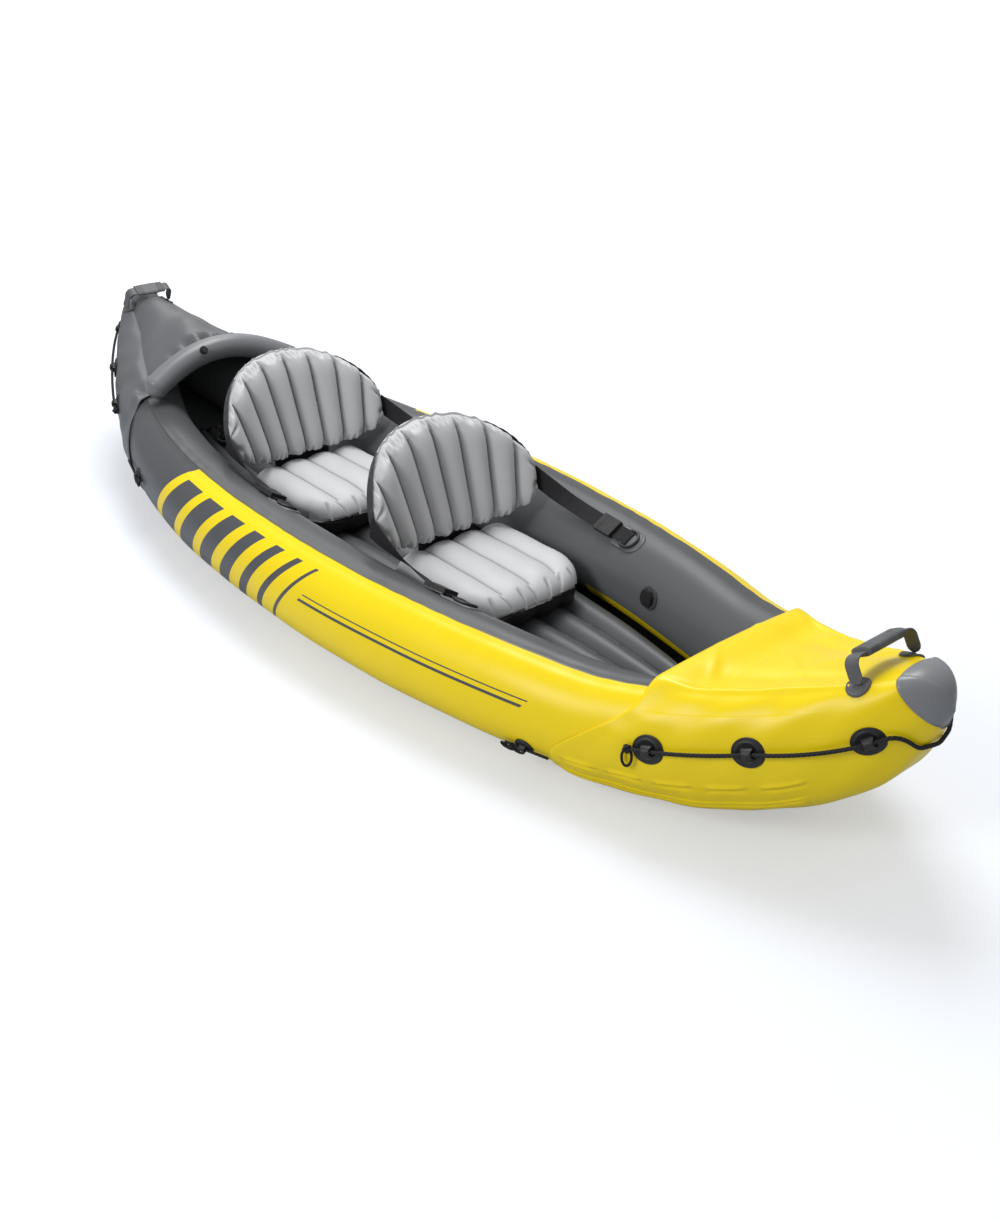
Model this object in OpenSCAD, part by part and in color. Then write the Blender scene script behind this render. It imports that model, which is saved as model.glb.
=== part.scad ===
// Two-seat inflatable kayak: side chambers, ribbed floor, end covers, seats, grab lines and valves.
// Frame: +X to the bow, +Y to port, +Z up. The origin is on the ground, amidships.

/* [Hull] */
// Overall length over both nose patches
length = 3024; // [2800:2:3300]
// Overall breadth over the side chambers
beam = 912; // [870:2:980]
// Clear width between the side chambers amidships
well = 438; // [420:2:460]
// Height of the side chambers amidships
gunwale = 257; // [245:1:275]
// Height of the side chambers' underside amidships, over the bottom skin
keel = 23; // [20:1:28]
// Rise of the bow nose over the gunwale
bow_rise = 189; // [170:1:210]
// Rise of the stern nose over the gunwale
stern_rise = 208; // [190:1:225]

/* [Covers] */
// Wall of the cover fabric
cover_wall = 3; // [2:0.5:4]
// Gap between two welded or touching soft pieces
seam_gap = 0.8; // [0.5:0.1:1]
// Length of the bow cover's deck, lip to nose
bow_deck = 461; // [420:1:500]
// Length of the stern cover's deck, arch to nose
stern_deck = 528; // [515:1:545]
// Height of the rolled lip on the bow deck
lip_height = 16; // [8:1:22]
// Radius of the inflated stern arch
arch_radius = 35; // [30:1:38]
// Rise of the stern arch over its feet
arch_rise = 80; // [72:1:90]

/* [Floor] */
// Height of the floor's crown
floor_top = 86; // [76:1:92]
// Number of floor tubes
floor_tubes = 5; // [3:2:7]

/* [Seats] */
// Place of the front backrest's hinge
front_seat = 155; // [140:1:165]
// Place of the rear backrest's hinge
rear_seat = -508; // [-525:1:-495]
// Length of a seat cushion
seat_length = 340; // [322:1:350]
// Width of a seat cushion
seat_width = 340; // [310:2:360]
// Height of a seat cushion
seat_height = 100; // [88:1:110]
// Number of tubes in a seat cushion
seat_tubes = 4; // [4:1:6]
// Height of a backrest above its hinge
back_height = 285; // [265:1:305]
// Width of a backrest
back_width = 486; // [460:2:496]
// Thickness of a backrest cushion
back_depth = 56; // [46:1:62]
// How far a backrest's sides come forward of its middle
back_wrap = 66; // [50:1:80]
// Lean of a backrest at rest, aft of upright
recline = 20; // [12:1:24]
// Number of tubes in a backrest
back_tubes = 8; // [7:1:11]
// Thickness of the seat base and back panel fabric
panel = 4; // [3:0.5:5]

/* [Straps] */
// Width of the webbing
strap_width = 38; // [30:1:42]
// Thickness of the webbing
strap_thick = 2; // [1.5:0.1:2.5]
// Length of the buckle socket
buckle_length = 44; // [38:1:50]
// Thickness of the buckle
buckle_thick = 12; // [11:0.5:14]
// Distance from an anchor forward of its backrest's hinge
anchor_reach = 368; // [356:1:380]

/* [Grab lines] */
// Diameter of the rope
rope = 8; // [6:0.5:9]
// Diameter of a welded pad
pad_size = 60; // [54:1:68]
// Thickness of a welded pad
pad_thick = 4; // [3:0.5:5]
// Distance of the first pad from the nose
pad_first = 80; // [76:1:88]
// Distance between pads along the hull
pad_pitch = 166; // [150:1:175]

/* [Handles] */
// Width of the handle strap
handle_width = 28; // [24:1:32]
// Thickness of the handle strap
handle_thick = 3; // [2:0.5:4]
// Rise of the bow handle over its pivots
bow_handle_rise = 34; // [30:1:40]
// Rise of the stern handle over its pivots
stern_handle_rise = 44; // [42:1:50]
// Lean of the bow handle at rest, below zero towards the stern
bow_handle_lean = -30; // [-36:1:-20]
// Lean of the stern handle at rest, above zero towards the bow
stern_handle_lean = 32; // [20:1:34]
// Length of the padded grip
grip_length = 104; // [90:1:110]

/* [Valves] */
// Diameter of a valve's flange
valve_flange = 58; // [54:1:66]
// Diameter of a valve's collar
valve_collar = 32; // [28:1:34]

/* [Hidden] */
$fn = 48;
yellow = "gold";
grey = "dimgray";
pale = "silver";
black = [0.12, 0.12, 0.13];

// Hull lines: the nose of the welded hull lies inside the nose patch
patch_wall = 2;
nose_gap = 2.2;
nose = length / 2 - seam_gap - cover_wall - nose_gap - patch_wall;
bow_dip = 11;
stern_sweep = 50;
bow_rock = 22;
bow_lift = 255;
stern_rock = 81;
stern_lift = 201;
well_end = 0.845 * nose;
flat_run = 0.266 * nose;
bow_turn = 0.597 * nose;
stern_turn = 0.571 * nose;
bow_knuckle = 0.465 * nose;
nose_round = 74;
chamber_end = 0.93 * nose;

function clamp01(v) = min(max(v, 0), 1);
function ease(v) = let (t = clamp01(v)) t * t * (3 - 2 * t);
function along(x) = clamp01(abs(x) / nose);
function ramp(x, start) = max((abs(x) - start) / (nose - start), 0);
function breadth(x) = beam / 2 * pow(1 - pow(along(x), x > 0 ? 1.83 : 2.28), x > 0 ? 0.69 : 0.79);
function inner(x) = max(well / 2 * (1 - pow(clamp01(abs(x) / well_end), 2.42)), seam_gap);
function tube_mid(x) = (breadth(x) + inner(x)) / 2;
function sheer(x) = gunwale + (x > 0
    ? (bow_rise + bow_dip) * pow(ramp(x, bow_turn), 1.6) - bow_dip * pow(along(x), 2.2)
    : (stern_rise - stern_sweep) * pow(ramp(x, stern_turn), 1.5) + stern_sweep * pow(along(x), 2.2));
function rocker(x) = keel + (x > 0
    ? bow_rock * pow(ramp(x, flat_run), 2.2) + bow_lift * pow(ramp(x, bow_knuckle), 4.8)
    : stern_rock * pow(ramp(x, flat_run), 2.2) + stern_lift * pow(ramp(x, stern_turn), 2));
function rounding(x) = sqrt(1 - pow(clamp01((abs(x) - nose + nose_round) / nose_round), 2));
function mid_z(x) = (sheer(x) + rocker(x)) / 2;
function half_z(x) = (sheer(x) - rocker(x)) / 2 * rounding(x);

// A point on a side chamber: angle 0 outboard, 90 on top, side -1 starboard and +1 port
function tube_at(x, angle, side, off = 0) = [x,
    side * (tube_mid(x) + ((breadth(x) - inner(x)) / 2 + off) * cos(angle)),
    mid_z(x) + (half_z(x) + off) * sin(angle)];
function unit(v) = v / norm(v);
function tube_normal(x, angle, side) =
    let (a = tube_at(x + 1, angle, side) - tube_at(x - 1, angle, side))
    let (b = tube_at(x, angle + 1, side) - tube_at(x, angle - 1, side))
    let (n = unit(cross(a, b)))
    n * sign(n * [0, side * cos(angle), sin(angle)]);

// Closed loft through rings of equal count, with flat ends
module loft(rings) {
    m = len(rings[0]);
    n = len(rings);
    points = [for (r = rings) each r];
    sides = [for (i = [0:n - 2], j = [0:m - 1])
        let (a = i * m + j, b = i * m + (j + 1) % m)
        each [[a, b, b + m], [a, b + m, a + m]]];
    ends = [[for (j = [m - 1:-1:0]) j], [for (j = [0:m - 1]) (n - 1) * m + j]];
    polyhedron(points, concat(sides, ends));
}

// Two facing grids of the same count, joined round their edge
module quilt(front, back) {
    n = len(front);
    m = len(front[0]);
    size = n * m;
    points = concat([for (r = front) each r], [for (r = back) each r]);
    faces = [for (i = [0:n - 2], j = [0:m - 2])
        let (a = i * m + j, b = a + 1, c = a + m, d = c + 1)
        each [[a, b, d], [a, d, c], [a + size, d + size, b + size], [a + size, c + size, d + size]]];
    border = concat([for (j = [0:m - 1]) j], [for (i = [1:n - 1]) i * m + m - 1],
        [for (j = [m - 2:-1:0]) (n - 1) * m + j], [for (i = [n - 2:-1:1]) i * m]);
    rim = [for (k = [0:len(border) - 1])
        let (a = border[k], b = border[(k + 1) % len(border)])
        each [[a, a + size, b + size], [a, b + size, b]]];
    polyhedron(points, concat(faces, rim));
}

// Cup-shaped skin through matching outer and inner rings, each closed by its tip
module cup(outer, inside, outer_tip, inner_tip) {
    n = len(outer);
    m = len(outer[0]);
    size = n * m + 1;
    points = concat([for (r = outer) each r], [outer_tip], [for (r = inside) each r], [inner_tip]);
    wall = [for (i = [0:n - 2], j = [0:m - 1])
        let (a = i * m + j, b = i * m + (j + 1) % m)
        each [[a, b, b + m], [a, b + m, a + m],
              [a + size, b + m + size, b + size], [a + size, a + m + size, b + m + size]]];
    tips = [for (j = [0:m - 1])
        let (a = (n - 1) * m + j, b = (n - 1) * m + (j + 1) % m)
        each [[a, b, n * m], [b + size, a + size, n * m + size]]];
    rim = [for (j = [0:m - 1])
        let (b = (j + 1) % m)
        each [[j, b + size, b], [j, j + size, b + size]]];
    polyhedron(points, concat(wall, tips, rim));
}

// Stands its children on a point, with their Z along a normal, turned by spin about it
module stand(place, normal, spin = 0) {
    translate(place) rotate([0, acos(normal.z), atan2(normal.y, normal.x)]) rotate([0, 0, spin]) children();
}

// Spin that lays a stood child's Y along a direction
function spin_to(normal, way) =
    let (pitch = acos(normal.z), yaw = atan2(normal.y, normal.x))
    let (ex = [cos(pitch) * cos(yaw), cos(pitch) * sin(yaw), -sin(pitch)], ey = [-sin(yaw), cos(yaw), 0])
    atan2(-way * ex, way * ey);

// Welded patches: thin round-edged pieces that lie on the curved hull
seat_gap = 0.4;
weld_gap = 0.8;
function stood_axes(normal, spin) =
    let (pitch = acos(normal.z), yaw = atan2(normal.y, normal.x))
    let (ex = [cos(pitch) * cos(yaw), cos(pitch) * sin(yaw), -sin(pitch)], ey = [-sin(yaw), cos(yaw), 0])
    [cos(spin) * ex + sin(spin) * ey, cos(spin) * ey - sin(spin) * ex];
function onto_tube(p, side, off) = tube_at(p.x, atan2((p.z - mid_z(p.x)) / half_z(p.x),
    (side * p.y - tube_mid(p.x)) * 2 / (breadth(p.x) - inner(p.x))), side, off);
function round_outline(d, count = 12) =
    [for (k = [0:count - 1]) d / 2 * [cos(360 * k / count), sin(360 * k / count)]];
module patch(place, normal, way, side, off, outline, thick, on_deck = false) {
    axes = stood_axes(normal, spin_to(normal, way));
    m = len(outline);
    function put(q, lift) = let (p = place + axes[0] * q.x + axes[1] * q.y)
        on_deck ? onto_cover(p, side, off + lift) : onto_tube(p, side, off + lift);
    function ring(share, lift) = [for (q = outline) put(q * share, lift)];
    rings = [ring(0.5, 0), ring(1, 0), ring(0.95, thick), ring(0.5, thick)];
    points = concat([for (r = rings) each r], [put([0, 0], 0), put([0, 0], thick)]);
    bands = [for (i = [0:2], j = [0:m - 1]) let (a = i * m + j, b = i * m + (j + 1) % m)
        each [[a, b + m, b], [a, a + m, b + m]]];
    fans = [for (j = [0:m - 1]) let (b = (j + 1) % m)
        each [[j, b, 4 * m], [3 * m + b, 3 * m + j, 4 * m + 1]]];
    polyhedron(points, concat(bands, fans));
}

// Side chambers
arc_step = 18;
module chamber(side) {
    steps = 13;
    nub = 14;
    function ring(x, off) = [for (a = [0:arc_step:359]) tube_at(x, a, side, off)];
    rings = concat([ring(-chamber_end - nub, -nub)],
        [for (i = [-steps:steps]) ring(chamber_end * i / steps, 0)],
        [ring(chamber_end + nub, -nub)]);
    loft(side > 0 ? [for (r = rings) [for (j = [len(r) - 1:-1:0]) r[j]]] : rings);
}
module starboard_chamber() { color(yellow) chamber(-1); }
module port_chamber() { color(yellow) chamber(1); }

// Bottom skin: ribbed by the floor, flat where it lies on the ground
skin_front = 0.82 * nose;
skin_back = -0.73 * nose;
skin_ribs = 5;
rib_points = 4;
skin_gap = 1.4;
cover_start = 0.44 * nose;
function skin_top(x) = rocker(x) - seam_gap - (slack + cover_wall + skin_gap - seam_gap)
    * ease((abs(x) - cover_start) / 120);
function rib(t, count) = abs(sin(180 * count * t));
module bottom_skin() {
    stations = concat([for (i = [10:-1:0]) -flat_run + (skin_back + flat_run) * pow(i / 10, 0.8)],
        [for (i = [0:11]) flat_run + (skin_front - flat_run) * pow(i / 11, 0.75)]);
    ends = 0.35;
    function width(x) = tube_mid(x)
        * (1 - (1 - ends) * pow(clamp01((x > 0 ? x / skin_front : x / skin_back)), 6));
    function low(x, t) = skin_top(x) - (keel - seam_gap) * (0.5 + 0.5 * min(1, 1.45 * rib(t, skin_ribs)));
    count = skin_ribs * rib_points;
    color(black) loft([for (x = stations) concat(
        [for (k = [count:-1:0]) [x, width(x) * (2 * k / count - 1),
            low(x, k / count) < 0.01 ? 0 : low(x, k / count)]],
        [[x, -width(x), skin_top(x)], [x, width(x), skin_top(x)]])]);
}

// Inflated floor: lengthwise tubes between the side chambers
floor_front = 0.715 * nose;
floor_back = -0.7 * nose;
floor_side_gap = 4;
floor_rings = 14;
floor_valley = 0.62;
floor_rest = 0.4;
function floor_x(i) = floor_back + (floor_front - floor_back) * i / floor_rings;
function floor_low(x) = rocker(x) - floor_rest;
function floor_puff(x) = min(1,
    1.09 * pow(sin(180 * (0.06 + 0.88 * (x - floor_back) / (floor_front - floor_back))), 0.25));
function floor_crown(x) = floor_low(x) + (floor_top - keel + floor_rest) * floor_puff(x);
function floor_line(x) = lookup(x, [for (i = [0:floor_rings]) [floor_x(i), floor_crown(floor_x(i))]]);
module floor_chamber() {
    count = floor_tubes * rib_points;
    function width(x) = inner(x) - floor_side_gap;
    function top(x, t) = floor_low(x) + (floor_crown(x) - floor_low(x))
        * (floor_valley + (1 - floor_valley) * rib(t, floor_tubes));
    color(grey) loft([for (i = [0:floor_rings]) let (x = floor_x(i)) concat(
        [for (k = [0:count]) [x, width(x) * (2 * k / count - 1), top(x, k / count)]],
        [[x, width(x), floor_low(x)], [x, -width(x), floor_low(x)]])]);
}

// End covers: fabric cups over the chambers' ends, open towards the cockpit
deck_steps = 3;
cover_rings = 11;
slack = seam_gap + 1.2;
cover_off = slack + cover_wall;
bow_tail = 616;
stern_tail = 716;
tail_angle = -30;
side_sweep = 90;
lip_run = 60;
tail_share = 0.1;
stern_crown = 112;
stern_crown_end = 14;
// Section list from the bottom centre line up one side to the deck's centre: [arc angle, deck share]
half_section = concat([[-90, -1]], [for (a = [-90:arc_step:90]) [a, 0]],
    [for (k = [1:deck_steps]) [90, k / deck_steps]]);
section = concat([for (h = half_section) [h[0], h[1], -1]],
    [for (k = [len(half_section) - 2:-1:1]) [half_section[k][0], half_section[k][1], 1]]);
function bow_edge(h) = nose - bow_deck - (bow_tail - bow_deck)
    * (1 - ease((h[0] - tail_angle) / side_sweep));
function stern_edge(h) = -nose + stern_deck + (stern_tail - stern_deck)
    * (h[1] > 0 ? tail_share * pow(1 - h[1], 2.5) : 1 - (1 - tail_share) * ease((h[0] + 60) / 150));
function deck_crown(x) = x > 0 ? 6
    : stern_crown_end + (stern_crown - stern_crown_end) * clamp01((x + nose) / stern_deck);
function lip(x, h) = x > 0
    ? lip_height * ease((h[0] - 45) / 35) * exp(-pow((x - bow_edge(h)) / lip_run, 2)) : 0;
function cover_at(x, h, off) = h[1] < 0
    ? [x, 0, mid_z(x) - half_z(x) - off]
    : let (p = tube_at(x, h[0], h[2], off), share = h[1])
      [x, p.y * (1 - share), p.z + rounding(x) * (deck_crown(x) * (1 - pow(1 - share, 2)) + lip(x, h))];
function cover_ring(i, end, off) = [for (h = section)
    let (start = end > 0 ? bow_edge(h) : stern_edge(h), t = i / cover_rings)
    cover_at(start + (end * (nose - 2) - start) * (1 - pow(1 - t, 1.7)), h, off)];
function cover_tip(end, off) = [end * (nose + off), 0, mid_z(end * nose)];
module cover(end) {
    order = [for (j = [0:len(section) - 1]) end > 0 ? j : len(section) - 1 - j];
    outer = [for (i = [0:cover_rings - 1]) let (r = cover_ring(i, end, cover_off)) [for (j = order) r[j]]];
    inside = [for (i = [0:cover_rings - 1]) let (r = cover_ring(i, end, slack)) [for (j = order) r[j]]];
    cup(outer, inside, cover_tip(end, seam_gap + cover_wall), cover_tip(end, seam_gap));
}
// A point moved onto a cover: the side's curve outboard of the chamber's top, the deck inboard of it
function onto_cover(p, side, off) = side * p.y < tube_mid(p.x) && p.z > mid_z(p.x)
    ? let (share = 1 - side * p.y / tube_mid(p.x))
      [p.x, p.y, mid_z(p.x) + half_z(p.x) + off + rounding(p.x) * deck_crown(p.x) * (1 - pow(1 - share, 2))]
    : onto_tube(p, side, off);
module bow_cover() { color(yellow) cover(1); }
module stern_cover() { color(grey) cover(-1); }

// Nose patches: caps of the covers cut off by a plane that leans back over the deck
cap_lean = 45;
cap_rings = 5;
bow_cap_deck = 80;
stern_cap_deck = 96;
cap_off = cover_off + nose_gap;
function cap_height(p, end) = end * p.x * cos(cap_lean) + p.z * sin(cap_lean);
function cap_cut(h, end, level, low, high, n) =
    let (mid = (low + high) / 2)
    n == 0 ? mid
    : cap_height(cover_at(mid, h, cap_off), end) > level ? cap_cut(h, end, level, low, mid, n - 1)
    : cap_cut(h, end, level, mid, high, n - 1);
module cap(end, deck) {
    crown = [90, 1, 1];
    level = cap_height(cover_at(end * (nose - deck), crown, cap_off), end);
    order = [for (j = [0:len(section) - 1]) section[end > 0 ? j : len(section) - 1 - j]];
    starts = [for (h = order) cap_cut(h, end, level, end * (nose - deck - 40), end * (nose - 4), 12)];
    function ring(i, off) = [for (j = [0:len(order) - 1])
        cover_at(starts[j] + (end * (nose - 2) - starts[j]) * (1 - pow(1 - i / cap_rings, 1.7)),
            order[j], off)];
    cup([for (i = [0:cap_rings - 1]) ring(i, cap_off + patch_wall)],
        [for (i = [0:cap_rings - 1]) ring(i, cap_off)],
        [end * length / 2, 0, mid_z(end * nose)], [end * (length / 2 - patch_wall), 0, mid_z(end * nose)]);
}
module bow_cap() { color(grey) cap(1, bow_cap_deck); }
module stern_cap() { color(grey) cap(-1, stern_cap_deck); }

// Sweeps a round tube of given sides along points, with its ends square
module tube_along(path, d, sides = 8) {
    n = len(path);
    up = [0, 0, 1];
    function way(i) = unit(path[min(i + 1, n - 1)] - path[max(i - 1, 0)]);
    loft([for (i = [0:n - 1]) let (t = way(i), b = unit(cross(t, up)), u = cross(b, t))
        [for (k = [0:sides - 1]) path[i] + d / 2 * (cos(360 * k / sides) * b + sin(360 * k / sides) * u)]]);
}

// Inflated arch that holds the stern deck up over the cockpit's end
arch_crest = -nose + stern_deck + arch_radius + seam_gap + 2;
arch_sweep = 1.35 * tail_share * (stern_tail - stern_deck);
arch_foot = arch_crest + arch_sweep;
arch_spread = 16;
arch_half = tube_mid(arch_foot) + arch_spread;
foot_half = (breadth(arch_foot) - inner(arch_foot)) / 2;
arch_base = mid_z(arch_foot) + half_z(arch_foot) * sqrt(1 - pow(arch_spread / foot_half, 2))
    + arch_radius + seat_gap;
function arch_at(a) = [arch_crest + arch_sweep * pow(abs(sin(a)), 2.5), arch_half * sin(a),
    arch_base + arch_rise * pow(cos(a), 2.4)];
module stern_arch() {
    angles = concat([-90, -86], [for (a = [-80:10:80]) a], [86, 90]);
    last = len(angles) - 1;
    path = [for (a = angles) arch_at(min(max(a, -89.9), 89.9))];
    function way(i) = unit(path[min(i + 1, last)] - path[max(i - 1, 0)]);
    function r(i) = i == 0 || i == last ? arch_radius * 0.45 : arch_radius;
    up = [0, 0, 1];
    color(grey) loft([for (i = [0:last]) let (t = way(i), b = unit(cross(t, up)), u = cross(b, t))
        [for (k = [0:11]) path[i] + r(i) * (cos(30 * k) * b + sin(30 * k) * u)]]);
}

// Carry handles: a strap on two pivots over welded tabs, with a padded grip on it
tab_size = 44;
tab_thick = 3;
pivot_round = handle_width / 2;
bow_handle_back = 128;
stern_handle_back = 106;
handle_angle = 78;
function handle_x(end) = end * (nose - (end > 0 ? bow_handle_back : stern_handle_back));
function handle_normal(end, side) = tube_normal(handle_x(end), handle_angle, side);
tab_seat = cover_off + weld_gap;
function handle_face(end, side) = tube_at(handle_x(end), handle_angle, side, tab_seat);
pivot_gap = 0.2;
function pivot(end) = handle_face(end, 1) + handle_normal(end, 1) * (tab_thick + pivot_round + pivot_gap);
module handle_tabs(end) {
    for (side = [-1, 1]) patch(handle_face(end, side), handle_normal(end, side), [1, 0, 0], side,
        tab_seat, round_outline(tab_size), tab_thick, true);
}
pivot_thick = handle_thick + 1;
function corner(y, z, r, from, to) = [for (k = [0:6]) let (a = from + (to - from) * k / 6)
    [y + r * cos(a), z + r * sin(a)]];
module handle_strap(end, rise) {
    p = pivot(end);
    w = p.y + handle_thick / 2;
    bend = min(18, rise - 4);
    outer = concat([[-w, 0]], corner(-w + bend, rise - bend, bend, 180, 90),
        corner(w - bend, rise - bend, bend, 90, 0), [[w, 0]]);
    inside = concat([[w - handle_thick, 0]], corner(w - bend, rise - bend, bend - handle_thick, 0, 90),
        corner(-w + bend, rise - bend, bend - handle_thick, 90, 180), [[-w + handle_thick, 0]]);
    translate([p.x - handle_width / 2, 0, p.z]) rotate([90, 0, 90])
        linear_extrude(handle_width) polygon(concat(outer, inside));
    for (side = [-1, 1]) translate([p.x, side * p.y + pivot_thick / 2, p.z]) rotate([90, 0, 0])
        cylinder(r = pivot_round, h = pivot_thick);
}
module lean(end, angle) {
    p = pivot(end);
    translate([p.x, 0, p.z]) rotate([0, angle, 0]) translate([-p.x, 0, -p.z]) children();
}
grip_wall = 3;
grip_gap = 0.6;
grip_end_gap = 6;
function grip_span(end) = min(grip_length, 2 * (pivot(end).y - 18 - grip_end_gap));
module handle_grip(end, rise) {
    p = pivot(end);
    slot_w = handle_width + 2 * grip_gap;
    slot_h = handle_thick + 2 * grip_gap;
    translate([p.x, grip_span(end) / 2, p.z + rise - handle_thick / 2]) rotate([90, 0, 0])
        linear_extrude(grip_span(end)) difference() {
            union() {
                square([slot_w + grip_wall, slot_h + 2 * grip_wall], center = true);
                for (s = [-1, 1]) translate([s * (slot_w + grip_wall) / 2, 0])
                    circle(d = slot_h + 2 * grip_wall);
            }
            square([slot_w, slot_h], center = true);
        }
}

// Grab lines: a rope held by welded pads, each with a moulded eye
pads_each_side = 3;
eye_gap = 1.3;
eye_wall = 3.5;
eye_length = 22;
eye_centre = pad_thick + rope / 2 + eye_gap + 1;
rope_end = 34;
// Height of the line round the hull, as an angle on the chamber: at the nose pad, the middle pad
// and the last pad
bow_line = [4, 13, 11];
stern_line = [8, 16, 18];
function pad_x(end, i) = end * (nose - pad_first - i * pad_pitch);
function line_angle(x) = lookup(abs(x), [for (i = [pads_each_side - 1:-1:0])
    [abs(pad_x(1, i)), (x > 0 ? bow_line : stern_line)[i]]]);
function pad_normal(end, i, side) = tube_normal(pad_x(end, i), line_angle(pad_x(end, i)), side);
function line_at(x, below, side, lift) = let (a = line_angle(x) - below)
    tube_at(x, a, side, cover_off + seat_gap) + tube_normal(x, a, side) * lift;
function pad_face(end, i, side) = line_at(pad_x(end, i), 0, side, 0);
module line_pad(end, i, side) {
    x = pad_x(end, i);
    way = line_at(x + 10, 0, side, eye_centre) - line_at(x - 10, 0, side, eye_centre);
    n = pad_normal(end, i, side);
    eye = rope + 2 * eye_gap;
    patch(pad_face(end, i, side), n, way, side, cover_off + seat_gap, round_outline(pad_size), pad_thick);
    stand(pad_face(end, i, side), n, spin_to(n, way)) difference() {
        translate([-eye / 2 - eye_wall, -eye_length / 2, pad_thick - 1.5])
            cube([eye + 2 * eye_wall, eye_length, eye_centre + eye / 2 + eye_wall / 2 - pad_thick + 1.5]);
        translate([0, -eye_length, eye_centre]) rotate([-90, 0, 0])
            cylinder(d = eye, h = 2 * eye_length, $fn = 12);
    }
}
module line_pads(end, side) {
    for (i = [0:pads_each_side - 1]) line_pad(end, i, side);
}
// Route round the nose: [distance back from the nose, angle below the pads' line, lift off the cover]
nose_route = [[56, 4, 12], [45, 16, 10], [34, 36, 8.5], [24, 60, 8]];
stem_back = 15;
stem_lift = 8;
function half_line(end, side) = concat(
    [for (i = [0:17]) let (x = pad_x(end, 2) + end * (i / 17 * (2 * pad_pitch + rope_end + 14) - rope_end))
        line_at(x, 0, side, eye_centre)],
    [for (r = nose_route) line_at(end * (nose - r[0]), r[1], side, r[2])]);
function keel_at(x) = [x, 0, mid_z(x) - half_z(x) - cover_off];
module grab_line(end) {
    stem = end * (nose - stem_back);
    slope = unit(keel_at(stem + 1) - keel_at(stem - 1));
    start = half_line(end, -1);
    finish = half_line(end, 1);
    tube_along(concat(start, [keel_at(stem) + stem_lift * [slope.z, 0, -slope.x]],
        [for (i = [len(finish) - 1:-1:0]) finish[i]]), rope);
}

// Cover ties: a cord from the cover's tail through a small welded pad on the chamber
tie_size = 42;
tie_thick = 3;
tie_cord = 6;
tie_eye_gap = 0.9;
tie_eye_length = 14;
tie_wall = 3;
bow_tie_back = 676;
stern_tie_back = 762;
bow_tie_angle = -32;
stern_tie_angle = 2;
tie_centre = tie_thick + tie_cord / 2 + tie_eye_gap;
tie_tail = 40;
function tie_x(end) = end * (nose - (end > 0 ? bow_tie_back : stern_tie_back));
function tie_angle(end) = end > 0 ? bow_tie_angle : stern_tie_angle;
function tie_point(x, end, side) = tube_at(x, tie_angle(end), side, weld_gap + tie_centre);
module tie_pads(end) {
    eye = tie_cord + 2 * tie_eye_gap;
    for (side = [-1, 1]) {
        n = tube_normal(tie_x(end), tie_angle(end), side);
        way = tie_point(tie_x(end) + 5, end, side) - tie_point(tie_x(end) - 5, end, side);
        place = tube_at(tie_x(end), tie_angle(end), side, weld_gap);
        patch(place, n, way, side, weld_gap, round_outline(tie_size), tie_thick);
        stand(place, n, spin_to(n, way)) difference() {
            translate([-eye / 2 - tie_wall, -tie_eye_length / 2, tie_thick - 1.5])
                cube([eye + 2 * tie_wall, tie_eye_length,
                    tie_centre + eye / 2 + tie_wall - tie_thick + 1.5]);
            translate([0, -tie_eye_length, tie_centre]) rotate([-90, 0, 0])
                cylinder(d = eye, h = 2 * tie_eye_length, $fn = 12);
        }
    }
}
module tie_cord_run(end, side) {
    edge = end > 0 ? bow_edge([bow_tie_angle, 0]) : stern_edge([stern_tie_angle, 0]);
    tail = tie_x(end) - end * tie_tail;
    stop = edge - end * (seam_gap + 1);
    tube_along([for (k = [0:4]) tie_point(tail + (stop - tail) * k / 4, end, side)], tie_cord);
}

// Seats: base fabric on the floor, ribbed cushion on it, and a backrest that tips on its lower edge
base_tail = 40;
function base_low(x) = max(floor_line(x - base_tail), floor_line(x + seat_length)) + seat_gap;
function base_top(x) = base_low(x) + panel;
function hinge_z(x) = base_top(x) + seam_gap + seat_height + 2;
barrel = 4;
base_round = 70;
edge_tuck = 3;
function seat_half(v) = seat_width / 2 * (v > 0.72 ? sqrt(1 - 0.3 * pow((v - 0.72) / 0.28, 2)) : 1);
function seat_front(t) = seat_length * (1 - 0.07 * pow(2 * t - 1, 4));
function fill(v, n) = pow(max(1 - pow(abs(2 * v - 1), n), 0), 0.5);
module seat_cushion(x) {
    rows = 9;
    cols = seat_tubes * 5;
    middle = base_top(x) + seam_gap + 0.45 * seat_height;
    function rear(t) = barrel + seam_gap + 0.35 * back_wrap * pow(seat_width / back_width * (2 * t - 1), 2);
    function at(i, j, up) =
        let (v = i / rows, t = j / cols, ridge = 0.6 + 0.4 * rib(t, seat_tubes))
        let (full = fill(v, v < 0.5 ? 16 : 4) * pow(fill(t, 8), 0.6))
        [x + rear(t) + v * (seat_front(t) - rear(t) - 4 * (1 - rib(t, seat_tubes)) * v),
            seat_half(v) * (2 * t - 1),
         middle + (up > 0 ? edge_tuck / 2 + (0.55 * seat_height - edge_tuck / 2) * full * ridge
                          : -edge_tuck / 2 - (0.45 * seat_height - edge_tuck / 2)
                              * min(1, 1.6 * full * ridge))];
    color(pale) quilt([for (i = [0:rows]) [for (j = [0:cols]) at(i, j, 1)]],
        [for (i = [0:rows]) [for (j = [0:cols]) at(i, j, -1)]]);
}
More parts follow.
